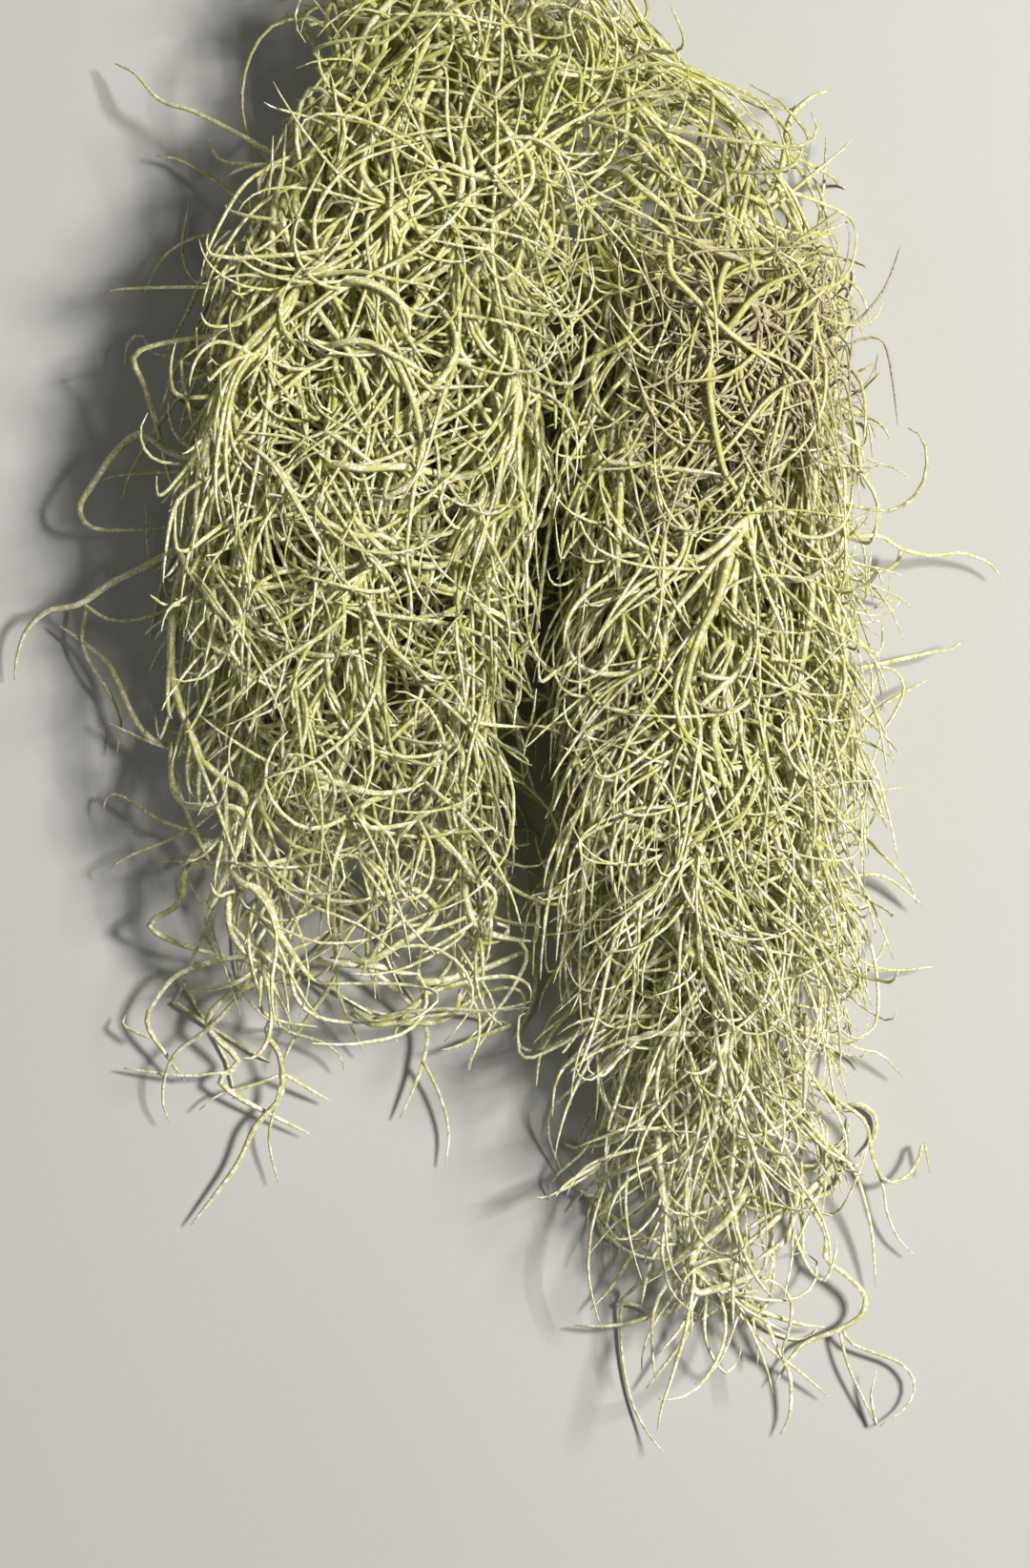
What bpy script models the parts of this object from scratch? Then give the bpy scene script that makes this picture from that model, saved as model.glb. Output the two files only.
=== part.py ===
"""Spanish moss bunch, laid down on its back on a flat surface.

The bunch is a tangle of thin leafy stems in two lobes, left and right, that join at a crown. It
lies with its front up: +X is right, +Y runs from the tips to the crown, +Z is up off the surface.

Each node is one tress: a slim gathered core of old stems, sprigs that stand out of it on all
sides, and the stray stems that reach past the outline. Sprigs are drawn by a seeded rule, and
one that would touch another tress is drawn again, so that the tresses interlace without
touching. Strays follow the real bunch and are placed by hand.
"""

import math
import random

import bmesh
import bpy
import numpy as np
from mathutils import Vector

# Driving dimensions, in metres. One pixel of the photograph is 0.24 mm at the moss.
MM = 0.001
PIXEL = 0.24 * MM
ORIGIN_PX = (532.0, 730.5)  # the photograph's pixel above the origin
LEAF_R = 0.62 * MM
STEM_R = 0.80 * MM
TIP_SHARE = 0.45  # a tip's radius as a share of its strand's
CLEARANCE = 0.25 * MM  # between the tresses
LEANING = 0.32 * MM  # the most between a tie and the tress that it leans on
TIE_REACH = (12.0 * MM, 48.0 * MM)
SPRIG_LENGTH = (42.0 * MM, 72.0 * MM)
LEAF_LENGTH = (24.0 * MM, 44.0 * MM)
SPRIG_OUT = 0.75  # a sprig leaves its core by this much outwards
SPRIG_DOWN = (0.5, 1.1)  # and by this much down the core
SPRIG_TURN = 0.5  # the most, in radians, that it strays from its even place round the core
LEAF_OUT = (0.4, 1.0)  # a leaf leaves its stem by this much sideways
TIE_GOAL_REACH = 36.0 * MM  # the furthest that a tie's goal lies from the next tress's core
TIE_STRAY = 0.12  # a tie heads this much past its goal
SPRIG_BEND = (12.0, 38.0)  # radians a metre, and so are the five below
LEAF_BEND = (10.0, 50.0)
MORE_BEND = (-20.0, 30.0)  # added towards the tip
SPRIG_TWIST = (-15.0, 15.0)
LEAF_TWIST = (-20.0, 20.0)
TIE_BEND = (-9.0, 9.0)
SPRIG_TRIES = 60
LEAF_TRIES = 20
TIE_TRIES = 12000
LIFTS = (0, 1, -1, 2, -2, 3, -3, 4, -4, 5, -5, 6, -6, 8, -8, 10, 12, 14, -10, -12, 16, 18)  # in mm
ROOT_REACH = 2.5 * MM  # a stray starts on a strand of its tress that is nearer than this
OWN_CLEARANCE = 0.15 * MM  # between the strands of one tress, past their roots
FLOOR_CLEARANCE = 0.35 * MM  # under the lowest strands
FLOOR_SOFTNESS = 2.2 * MM
TOP_OF_BUNCH = 62.0 * MM
TOP_SOFTNESS = 4.0 * MM
CORE_LOBES = 3  # a core is wound from this many skeins
LOBE_DEPTH = 0.30  # of the core's radius, between two skeins
CORE_WINDING = 0.6  # radians from ring to ring
CORE_WANDER = 3.2 * MM  # how far a core's line swings to its sides
CORE_WAVE = 0.105  # length of one swing, in metres
CORE_RINGS = 10
CORE_TIP_SHARE = 0.42  # a core's radius at its tip as a share of its greatest
CORE_SWELL_FROM = 0.16  # of the half wave of its swelling, at the crown end
STRAND_SIDES = 3
STEM_STEPS = 5
LEAF_STEPS = 3
LEAF_NODES = (2, 4)  # the stem's rings that a sprig's leaves grow from
STRAY_STEP = 11.0 * MM  # between the rings of a stray
SEED = 42

# Room that sprigs keep to, in pixels of the photograph, inside the strays' furthest tips
ROOM_PX = (60.0, 960.0, 5.0, 1440.0)

# Each tress: its core's line from the crown to its tip as (pixel x, pixel y, height in mm), the
# core's radius in mm at its thickest, and how many sprigs stand out of it.
TRESSES = {
    "left_outer_under": (
        [
            (325, 150, 8), (262, 330, 7), (215, 560, 6), (205, 760, 6), (240, 955, 7),
        ],
        5.6, 5,
    ),
    "left_middle_under": (
        [
            (405, 90, 5.4), (352, 330, 4.2), (325, 600, 4.2), (335, 850, 4.2), (350, 1000, 5),
        ],
        6.2, 4,
    ),
    "left_inner_under": (
        [
            (500, 110, 8), (478, 330, 6), (470, 600, 5.4), (470, 850, 6), (455, 1000, 7),
        ],
        5.6, 4,
    ),
    "left_outer_over": (
        [
            (350, 120, 34), (292, 330, 38), (262, 560, 36), (258, 760, 30), (284, 930, 21),
            (286, 1050, 15), (272, 1112, 12),
        ],
        5.8, 7,
    ),
    "left_middle_over": (
        [
            (445, 70, 37), (400, 330, 43), (385, 590, 40), (395, 820, 34), (400, 980, 23),
        ],
        6.0, 8,
    ),
    "left_inner_over": (
        [
            (520, 150, 35), (520, 350, 38), (512, 560, 35), (498, 760, 30), (492, 940, 20),
        ],
        5.4, 6,
    ),
    "right_inner_under": (
        [
            (655, 200, 8), (632, 400, 6), (640, 650, 6), (640, 900, 6), (652, 1130, 7),
        ],
        5.4, 4,
    ),
    "right_middle_under": (
        [
            (735, 130, 5.2), (725, 400, 4.2), (738, 700, 4.2), (742, 1000, 4.2), (752, 1270, 5.4),
        ],
        6.2, 5,
    ),
    "right_outer_under": (
        [
            (800, 190, 8), (826, 400, 6), (842, 680, 6), (842, 930, 6), (835, 1150, 7),
        ],
        5.4, 4,
    ),
    "right_inner_over": (
        [
            (690, 180, 33), (668, 420, 37), (678, 680, 36), (688, 920, 31), (696, 1160, 20),
        ],
        5.6, 6,
    ),
    "right_outer_over": (
        [
            (780, 160, 33), (800, 420, 37), (808, 680, 36), (806, 920, 31), (812, 1110, 22),
            (858, 1225, 13), (876, 1310, 10),
        ],
        5.6, 7,
    ),
    "right_front": (
        [
            (735, 560, 48), (742, 700, 49), (746, 880, 45), (745, 1060, 36), (750, 1290, 19),
        ],
        4.8, 6,
    ),
    "crown_left": (
        [
            (335, 84, 26), (400, 44, 31), (470, 36, 32), (548, 70, 29),
        ],
        4.2, 6,
    ),
    "crown_bridge": (
        [
            (480, 215, 52), (555, 165, 45), (620, 130, 32), (705, 112, 25),
        ],
        4.0, 5,
    ),
    "dry_nest": (
        [
            (690, 300, 52), (745, 350, 55), (770, 420, 54), (715, 470, 53),
        ],
        4.4, 6,
    ),
}

# The tangle holds together by stems of one tress that lean on the next: (tress, next tress)
TIES = [
    ("crown_left", "left_middle_over"),
    ("crown_bridge", "left_inner_over"),
    ("left_outer_over", "left_middle_over"),
    ("left_outer_over", "left_outer_under"),
    ("left_middle_over", "left_inner_over"),
    ("left_middle_over", "left_middle_under"),
    ("left_inner_over", "left_inner_under"),
    ("left_inner_over", "right_inner_under"),
    ("right_inner_over", "right_inner_under"),
    ("right_inner_over", "right_outer_over"),
    ("right_outer_over", "right_outer_under"),
    ("right_front", "right_inner_over"),
    ("right_middle_under", "right_inner_over"),
    ("dry_nest", "right_inner_over"),
    ("dry_nest", "right_outer_over"),
]

# Stray stems and leaves that make the outline: the tress each grows from, whether it is a stem
# or a leaf, its heights in mm at its root and tip, and its points in pixels of the photograph.
STRAYS = {
    "top_left_long": (
        "left_outer_over", "stem", 30, 8,
        [
            (302, 176), (247, 144), (203, 120), (168, 106), (141, 76), (118, 62),
        ],
    ),
    "top_left_hook": (
        "left_outer_over", "leaf", 34, 14,
        [
            (343, 167), (305, 178), (264, 177), (232, 170), (217, 144),
        ],
    ),
    "top_left_thin": (
        "left_outer_under", "leaf", 12, 6,
        [
            (285, 240), (258, 214), (223, 185), (188, 164), (160, 158),
        ],
    ),
    "top_left_loop": (
        "left_outer_over", "stem", 40, 47,
        [
            (382, 255), (311, 246), (282, 223), (285, 194), (343, 170), (367, 147),
        ],
    ),
    "left_shoulder_leaf": (
        "left_outer_under", "leaf", 14, 7,
        [
            (241, 240), (194, 251), (167, 270), (148, 304),
        ],
    ),
    "left_level_leaf": (
        "left_outer_over", "leaf", 32, 12,
        [
            (250, 310), (190, 306), (129, 305), (102, 308),
        ],
    ),
    "left_crook": (
        "left_outer_under", "stem", 12, 8,
        [
            (235, 400), (194, 378), (159, 367), (147, 348), (132, 358), (128, 381),
        ],
    ),
    "left_crook_leaf": (
        "left_outer_over", "leaf", 20, 9,
        [
            (255, 300), (241, 262), (217, 284), (197, 323), (173, 367),
        ],
    ),
    "left_big_loop": (
        "left_outer_over", "stem", 28, 9,
        [
            (235, 471), (202, 482), (178, 475), (149, 457), (121, 478), (100, 506), (84, 531),
            (92, 551), (121, 555), (182, 551),
        ],
    ),
    "left_loop_rung": (
        "left_outer_under", "leaf", 16, 10,
        [
            (204, 494), (162, 495), (121, 498), (106, 502),
        ],
    ),
    "left_falling_stem": (
        "left_outer_over", "stem", 34, 14,
        [
            (238, 360), (150, 375), (156, 410), (168, 453), (182, 510), (202, 543),
        ],
    ),
    "left_reach": (
        "left_outer_over", "stem", 24, 4,
        [
            (207, 570), (145, 600), (115, 614), (87, 632), (69, 637), (46, 641), (25, 660),
            (14, 687), (10.0, 712),
        ],
    ),
    "left_reach_return": (
        "left_outer_over", "leaf", 16, 24,
        [
            (87, 633), (115, 650), (147, 650), (179, 639), (207, 621),
        ],
    ),
    "left_reach_drop": (
        "left_outer_under", "leaf", 8, 5,
        [
            (88, 634), (83, 669), (92, 696), (110, 724), (123, 756), (119, 788),
        ],
    ),
    "left_slant": (
        "left_outer_under", "stem", 14, 5,
        [
            (207, 790), (161, 777), (138, 751), (126, 724), (110, 694), (85, 673), (56, 653),
        ],
    ),
    "left_needle": (
        "left_outer_over", "leaf", 22, 7,
        [
            (240, 800), (200, 790), (165, 781), (138, 770), (107, 756),
        ],
    ),
    "left_low_crook": (
        "left_outer_under", "leaf", 13, 5,
        [
            (225, 885), (197, 871), (170, 862), (147, 848), (126, 835), (109, 834), (104, 854),
        ],
    ),
    "left_low_reach": (
        "left_outer_over", "leaf", 22, 7,
        [
            (240, 840), (207, 866), (174, 882), (142, 894), (117, 908), (114, 919),
        ],
    ),
    "left_low_level": (
        "left_outer_over", "leaf", 20, 9,
        [
            (276, 903), (230, 905), (197, 903), (161, 904),
        ],
    ),
    "left_tail_hook": (
        "left_outer_over", "stem", 20, 8,
        [
            (230, 880), (197, 905), (189, 946), (156, 969), (184, 989), (228, 1002), (264, 1012),
        ],
    ),
    "left_tail_long": (
        "left_outer_over", "stem", 14, 4,
        [
            (240, 1005), (189, 1020), (161, 1050), (152, 1076), (174, 1112), (190, 1136),
        ],
    ),
    "left_tail_twig": (
        "left_outer_over", "leaf", 9, 5,
        [
            (154, 1089), (140, 1084), (126, 1076), (128, 1066),
        ],
    ),
    "left_tail_curl": (
        "left_outer_over", "leaf", 15, 5,
        [
            (263, 1022), (243, 1053), (215, 1081), (184, 1104), (171, 1130), (168, 1158),
            (175, 1181),
        ],
    ),
    "left_tail_zigzag": (
        "left_outer_over", "stem", 12, 4,
        [
            (270, 1030), (228, 1053), (217, 1079), (248, 1114), (228, 1132), (240, 1148),
            (274, 1168), (324, 1193),
        ],
    ),
    "left_tail_spear": (
        "left_outer_over", "leaf", 9, 4,
        [
            (236, 1126), (189, 1130), (126, 1123),
        ],
    ),
    "left_tail_drop": (
        "left_outer_over", "stem", 12, 3,
        [
            (279, 1084), (291, 1104), (295, 1130), (291, 1155), (266, 1183), (248, 1221),
            (222, 1257), (197, 1289),
        ],
    ),
    "left_tail_drop_leaf": (
        "left_outer_over", "leaf", 9, 4,
        [
            (293, 1140), (284, 1173), (280, 1201), (289, 1244),
        ],
    ),
    "left_tail_fork_left": (
        "left_outer_over", "leaf", 9, 4,
        [
            (294, 1128), (263, 1140), (228, 1150), (206, 1167),
        ],
    ),
    "left_tail_fork_right": (
        "left_outer_over", "leaf", 9, 4,
        [
            (294, 1126), (319, 1142), (345, 1158),
        ],
    ),
    "left_tail_right": (
        "left_outer_over", "leaf", 14, 5,
        [
            (288, 1045), (294, 1078), (337, 1094), (355, 1109), (359, 1124),
        ],
    ),
    "middle_tail": (
        "left_middle_under", "stem", 9, 3,
        [
            (375, 1010), (415, 1040), (446, 1078), (442, 1118), (430, 1150), (418, 1176),
        ],
    ),
    "middle_tail_leaf": (
        "left_middle_under", "leaf", 6, 3,
        [
            (443, 1115), (460, 1150), (470, 1190), (466, 1226),
        ],
    ),
    "top_spike": (
        "crown_left", "leaf", 22, 12,
        [
            (534, 66), (536, 38), (537, 10), (533, -24), (536, -50.0),
        ],
    ),
    "top_spike_left": (
        "crown_left", "leaf", 20, 12,
        [
            (380, 40), (352, 70), (320, 30), (330, -10), (352, -34),
        ],
    ),
    "top_arc_left": (
        "crown_left", "stem", 26, 12,
        [
            (420, 70), (400, 40), (430, 5), (470, -20), (500, -30),
        ],
    ),
    "top_arc_middle": (
        "crown_left", "leaf", 24, 16,
        [
            (500, 60), (492, 20), (508, -8), (540, -12), (566, 0), (586, 25), (580, 54), (572, 86),
        ],
    ),
    "top_arc_right": (
        "crown_bridge", "leaf", 32, 14,
        [
            (600, 140), (595, 90), (607, 57), (602, 24), (608, -8), (620, -36),
        ],
    ),
    "top_long_right": (
        "crown_bridge", "stem", 30, 14,
        [
            (655, 150), (654, 105), (641, 48), (630, 0), (622, -28),
        ],
    ),
    "crown_ring": (
        "crown_bridge", "leaf", 50, 52,
        [
            (572, 162), (552, 142), (530, 146), (521, 172), (530, 203), (552, 212), (574, 206),
        ],
    ),
    "crown_arc": (
        "crown_bridge", "leaf", 44, 40,
        [
            (603, 153), (630, 130), (643, 86), (639, 48), (620, 21), (599, 17),
        ],
    ),
    "right_top_spike": (
        "right_outer_over", "stem", 34, 16,
        [
            (804, 221), (818, 175), (825, 133), (848, 106), (875, 94),
        ],
    ),
    "right_top_level": (
        "right_outer_over", "stem", 30, 12,
        [
            (685, 97), (701, 94), (743, 113), (781, 138), (818, 152), (848, 161),
        ],
    ),
    "right_top_slant": (
        "right_outer_over", "leaf", 32, 12,
        [
            (804, 230), (838, 198), (880, 161), (892, 146),
        ],
    ),
    "right_top_drop": (
        "right_outer_under", "leaf", 14, 6,
        [
            (838, 300), (850, 278), (859, 239), (866, 189), (869, 136),
        ],
    ),
    "right_upper_leaf": (
        "right_outer_over", "leaf", 30, 10,
        [
            (790, 215), (815, 205), (861, 216), (891, 228), (898, 239),
        ],
    ),
    "right_upper_thin": (
        "right_outer_over", "leaf", 36, 9,
        [
            (799, 244), (827, 250), (861, 244), (900, 226),
        ],
    ),
    "right_upper_hoop": (
        "right_outer_over", "stem", 34, 12,
        [
            (805, 320), (829, 290), (845, 276), (866, 280), (877, 308), (880, 347), (871, 386),
            (859, 418),
        ],
    ),
    "right_smile": (
        "right_outer_over", "leaf", 30, 10,
        [
            (824, 419), (845, 425), (871, 430), (897, 423),
        ],
    ),
    "right_level": (
        "right_outer_under", "leaf", 12, 7,
        [
            (835, 474), (855, 478), (869, 472), (907, 474),
        ],
    ),
    "right_cross": (
        "right_outer_over", "leaf", 28, 13,
        [
            (830, 545), (873, 515), (887, 510), (903, 501), (921, 487),
        ],
    ),
    "right_reach": (
        "right_outer_over", "stem", 28, 5,
        [
            (845, 585), (870, 568), (893, 565), (913, 563), (926, 565), (947, 577), (976, 582),
            (1008, 579), (1026, 583), (1042, 590), (1054.0, 603),
        ],
    ),
    "right_reach_arch": (
        "right_outer_over", "leaf", 10, 26,
        [
            (915, 564), (922, 548), (921, 533), (916, 518), (903, 500), (885, 487), (860, 481),
            (835, 490),
        ],
    ),
    "right_reach_curl": (
        "right_outer_over", "leaf", 9, 5,
        [
            (947, 576), (945, 586), (933, 596), (908, 601), (901, 607), (906, 616), (921, 624),
            (945, 630),
        ],
    ),
    "right_spear": (
        "right_outer_under", "leaf", 11, 8,
        [
            (851, 582), (865, 586), (886, 584), (906, 578),
        ],
    ),
    "right_mid_spear": (
        "right_outer_under", "leaf", 12, 8,
        [
            (850, 652), (868, 649), (898, 652), (926, 650),
        ],
    ),
    "right_fork": (
        "right_outer_over", "stem", 28, 8,
        [
            (850, 715), (884, 704), (911, 699), (949, 690), (981, 683), (997, 681), (1013, 671),
        ],
    ),
    "right_fork_bow": (
        "right_outer_over", "leaf", 20, 14,
        [
            (914, 698), (938, 704), (947, 723), (938, 747), (924, 771), (911, 814),
        ],
    ),
    "right_bow_cross": (
        "right_outer_under", "leaf", 14, 8,
        [
            (862, 800), (879, 790), (900, 771), (922, 744), (949, 726), (978, 711),
        ],
    ),
    "right_steep_stem": (
        "right_outer_over", "stem", 30, 9,
        [
            (862, 700), (882, 742), (900, 801), (916, 833), (932, 868),
        ],
    ),
    "right_steep_leaf": (
        "right_outer_over", "leaf", 11, 8,
        [
            (914, 830), (935, 827), (955, 827),
        ],
    ),
    "right_long_slant": (
        "right_outer_over", "leaf", 26, 5,
        [
            (862, 835), (887, 860), (914, 886), (935, 905), (954, 924), (965, 948),
        ],
    ),
    "right_low_arch": (
        "right_outer_under", "leaf", 13, 6,
        [
            (858, 940), (882, 924), (914, 917), (938, 924), (973, 952),
        ],
    ),
    "right_low_level": (
        "right_outer_over", "leaf", 24, 6,
        [
            (850, 970), (876, 988), (908, 1010), (940, 1018), (983, 1015),
        ],
    ),
    "right_low_sickle": (
        "right_outer_under", "leaf", 12, 6,
        [
            (848, 1058), (874, 1052), (908, 1023), (927, 999), (934, 975),
        ],
    ),
    "right_foot_leaf": (
        "right_outer_over", "leaf", 22, 5,
        [
            (840, 1075), (875, 1086), (901, 1100), (926, 1107), (950, 1132),
        ],
    ),
    "right_foot_hook": (
        "right_outer_under", "stem", 12, 5,
        [
            (860, 1140), (881, 1156), (909, 1178), (917, 1215), (931, 1241), (954, 1236),
            (967, 1217), (972, 1198), (979, 1234),
        ],
    ),
    "right_foot_drop": (
        "right_outer_under", "leaf", 8, 4,
        [
            (917, 1216), (929, 1248), (933, 1274), (945, 1302), (962, 1320),
        ],
    ),
    "right_foot_long": (
        "right_outer_over", "leaf", 20, 4,
        [
            (850, 1180), (892, 1223), (906, 1254), (917, 1299), (922, 1355),
        ],
    ),
    "tail_stem": (
        "right_outer_over", "stem", 11, 4,
        [
            (864, 1288), (867, 1321), (887, 1338), (909, 1361), (906, 1383), (884, 1398),
            (842, 1417), (814, 1459),
        ],
    ),
    "tail_hoop": (
        "right_outer_over", "leaf", 5, 4,
        [
            (886, 1397), (895, 1413), (918, 1423), (948, 1435), (963, 1456), (954, 1481),
            (926, 1502),
        ],
    ),
    "tail_chord": (
        "right_outer_over", "leaf", 5, 3,
        [
            (883, 1398), (892, 1436), (909, 1473), (922, 1501),
        ],
    ),
    "tail_tip": (
        "right_outer_over", "leaf", 3, 7,
        [
            (923, 1501), (917, 1473), (918, 1459), (922, 1442),
        ],
    ),
    "tail_feeder": (
        "right_front", "stem", 14, 6,
        [
            (780, 1366), (808, 1380), (842, 1392), (868, 1396),
        ],
    ),
    "foot_slant": (
        "right_front", "leaf", 12, 4,
        [
            (770, 1372), (808, 1417), (836, 1439), (873, 1471),
        ],
    ),
    "foot_drop": (
        "right_front", "stem", 12, 3,
        [
            (778, 1340), (800, 1377), (816, 1417), (830, 1445), (831, 1487), (821, 1511.0),
        ],
    ),
    "foot_hook": (
        "right_front", "leaf", 14, 7,
        [
            (742, 1350), (739, 1395), (746, 1421), (762, 1443), (776, 1428), (779, 1418),
        ],
    ),
    "foot_left": (
        "right_front", "leaf", 14, 5,
        [
            (748, 1340), (735, 1376), (713, 1415), (679, 1461),
        ],
    ),
    "foot_level": (
        "right_front", "leaf", 13, 5,
        [
            (738, 1350), (706, 1375), (648, 1393), (603, 1395),
        ],
    ),
    "foot_far_left": (
        "right_middle_under", "leaf", 10, 4,
        [
            (725, 1250), (669, 1312), (643, 1352), (620, 1378),
        ],
    ),
    "foot_inner": (
        "right_inner_under", "stem", 8, 4,
        [
            (690, 1180), (660, 1250), (613, 1255), (598, 1230),
        ],
    ),
}

COLOURS = {
    "live": (0.46, 0.50, 0.27, 1.0),
    "dry": (0.34, 0.27, 0.19, 1.0),
}
ROUGHNESS = 0.75


def at(px, py, z_mm):
    """The point over a pixel of the photograph, at a height in millimetres."""
    return Vector(((px - ORIGIN_PX[0]) * PIXEL, (ORIGIN_PX[1] - py) * PIXEL, z_mm * MM))


def smooth_line(points, count):
    """count points evenly along a Catmull-Rom curve through points."""
    padded = [points[0] * 2 - points[1], *points, points[-1] * 2 - points[-2]]
    fine = []
    per_span = 12
    for a, b, c, d in zip(padded, padded[1:], padded[2:], padded[3:]):
        squared, cubed = 2 * a - 5 * b + 4 * c - d, 3 * b - a - 3 * c + d
        for i in range(per_span):
            t = i / per_span
            fine.append(0.5 * (2 * b + (c - a) * t + squared * t**2 + cubed * t**3))
    fine.append(points[-1].copy())
    walked = [0.0]
    for a, b in zip(fine, fine[1:]):
        walked.append(walked[-1] + (b - a).length)
    even, k = [], 0
    for i in range(count):
        goal = walked[-1] * i / (count - 1)
        while k < len(walked) - 2 and walked[k + 1] < goal:
            k += 1
        share = (goal - walked[k]) / max(walked[k + 1] - walked[k], 1e-9)
        even.append(fine[k].lerp(fine[k + 1], min(1.0, share)))
    return even


def line_length(points):
    return sum((b - a).length for a, b in zip(points, points[1:]))


def lay_on_floor(points, radius):
    """Bends a strand softly so that it stays above the surface and under the bunch's top."""
    floor = radius + FLOOR_CLEARANCE
    for p in points:
        over = (p.z - floor) / FLOOR_SOFTNESS
        if over < 20:
            p.z = floor + FLOOR_SOFTNESS * math.log1p(math.exp(over))
        under = (TOP_OF_BUNCH - p.z) / TOP_SOFTNESS
        if under < 20:
            p.z = TOP_OF_BUNCH - TOP_SOFTNESS * math.log1p(math.exp(under))
    return points


def curl(start, heading, side, length, bend, more_bend, twist, steps):
    """A strand that leaves start along heading and bends towards side, at bend radians a metre.

    more_bend is added to bend by the tip, and twist turns the plane of the bend.
    """
    heading, side = heading.normalized(), side.normalized()
    points, step = [start.copy()], length / steps
    for i in range(steps):
        turn = (bend + more_bend * (i + 0.5) / steps) * step
        axis = heading.cross(side)
        if axis.length < 1e-6:
            axis = heading.orthogonal()
        axis.normalize()
        heading = (heading * math.cos(turn) + axis.cross(heading) * math.sin(turn)).normalized()
        side = (side - heading * side.dot(heading)).normalized()
        side = side * math.cos(twist * step) + heading.cross(side) * math.sin(twist * step)
        points.append(points[-1] + heading * step)
    return points


def tube(points, radii, sides, winding=0.0):
    """(vertices, faces) of a closed tube along points, each ring turned by winding from the last."""
    vertices, faces = [], []
    heading = (points[1] - points[0]).normalized()
    across = heading.orthogonal().normalized()
    for i, p in enumerate(points):
        ahead = points[min(i + 1, len(points) - 1)] - points[max(i - 1, 0)]
        heading = ahead.normalized()
        across = (across - heading * across.dot(heading)).normalized()
        other = heading.cross(across)
        for k in range(sides):
            a = math.tau * k / sides + winding * i
            vertices.append(p + (across * math.cos(a) + other * math.sin(a)) * radii[i])
    for i in range(len(points) - 1):
        for k in range(sides):
            n = (k + 1) % sides
            low, high = i * sides, (i + 1) * sides
            faces.append((low + k, low + n, high + n, high + k))
    faces.append(tuple(reversed(range(sides))))
    faces.append(tuple(range((len(points) - 1) * sides, len(points) * sides)))
    return vertices, faces


def strand_radii(base, count):
    """Full width for most of a strand, then a taper to its tip."""
    taper_from = 0.55
    radii = []
    for i in range(count):
        t = i / (count - 1)
        late = max(0.0, (t - taper_from) / (1 - taper_from))
        radii.append(base * (1 - (1 - TIP_SHARE) * late**1.5))
    return radii


def mesh_object(name, vertices, faces):
    mesh = bpy.data.meshes.new(name)
    mesh.from_pydata(vertices, [], faces)
    work = bmesh.new()
    work.from_mesh(mesh)
    bmesh.ops.recalc_face_normals(work, faces=work.faces)
    work.to_mesh(mesh)
    work.free()
    made = bpy.data.objects.new(name, mesh)
    bpy.context.scene.collection.objects.link(made)
    return made


def core_thickness(along):
    """A core's radius as a share of its greatest, at a share of its length from the crown end."""
    swell = math.sin(math.pi * min(1.0, CORE_SWELL_FROM + (1 - CORE_SWELL_FROM) * along))
    return CORE_TIP_SHARE + (1 - CORE_TIP_SHARE) * swell


class Tress:
    """One node: its core, and the strands that are fused to it."""

    def __init__(self, name, line, radius):
        self.name = name
        self.core = smooth_line([at(*p) for p in line], CORE_RINGS)
        swing_from = len(name)  # so that the tresses don't swing in step
        for i, p in enumerate(self.core):
            swing = math.tau * line_length(self.core[: i + 1]) / CORE_WAVE + swing_from
            p.x += CORE_WANDER * math.sin(swing)
        self.core_radii = [
            radius * MM * core_thickness(i / (CORE_RINGS - 1)) for i in range(CORE_RINGS)
        ]
        self.strands = []  # (points, radii)

    def segments(self):
        """The rows of the core and of all the strands."""
        lines = [(self.core, self.core_radii), *self.strands]
        return np.concatenate([rows_of(*line) for line in lines])

    def nearest_on_core(self, point):
        return min(self.core, key=lambda p: (p - point).length)

    def on_core(self, share):
        """(point, heading, radius) at a share of the core's length from its crown end."""
        place = share * (CORE_RINGS - 1)
        i = min(int(place), CORE_RINGS - 2)
        f = place - i
        return (
            self.core[i].lerp(self.core[i + 1], f),
            (self.core[i + 1] - self.core[i]).normalized(),
            self.core_radii[i] * (1 - f) + self.core_radii[i + 1] * f,
        )


def gap_between(rows, others):
    """The least gap between two arrays of round segments, by Ericson's closest points."""
    p1, q1, r1 = rows[:, None, 0:3], rows[:, None, 3:6], rows[:, None, 6]
    p2, q2, r2 = others[None, :, 0:3], others[None, :, 3:6], others[None, :, 6]
    d1, d2, r = q1 - p1, q2 - p2, p1 - p2
    a = np.maximum((d1 * d1).sum(-1), 1e-12)
    e = np.maximum((d2 * d2).sum(-1), 1e-12)
    b, c, f = (d1 * d2).sum(-1), (d1 * r).sum(-1), (d2 * r).sum(-1)
    denominator = a * e - b * b
    s = np.where(denominator > 1e-15, (b * f - c * e) / np.maximum(denominator, 1e-15), 0.0).clip(0, 1)
    t = (b * s + f) / e
    s = np.where(t < 0, (-c / a).clip(0, 1), np.where(t > 1, ((b - c) / a).clip(0, 1), s))
    t = t.clip(0, 1)
    apart = r + d1 * s[..., None] - d2 * t[..., None]
    return float((np.sqrt((apart * apart).sum(-1)) - r1 - r2).min())


def rows_of(points, radii):
    """Every straight piece of a strand as (start, end, radius), one row of 7 numbers each."""
    rows = []
    for i in range(len(points) - 1):
        rows.append((*points[i], *points[i + 1], max(radii[i], radii[i + 1])))
    return np.array(rows)


def is_clear(points, radii, others, tress=None, parent=None):
    """True if a strand keeps clear of other tresses and, past its root, of its own tress's strands."""
    rows = rows_of(points, radii)
    if gap_between(rows, others) < CLEARANCE:
        return False
    if tress is None:
        return True
    fellows = [rows_of(*strand) for strand in tress.strands if strand is not parent]
    return not fellows or gap_between(rows[1:], np.concatenate(fellows)) >= OWN_CLEARANCE


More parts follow.
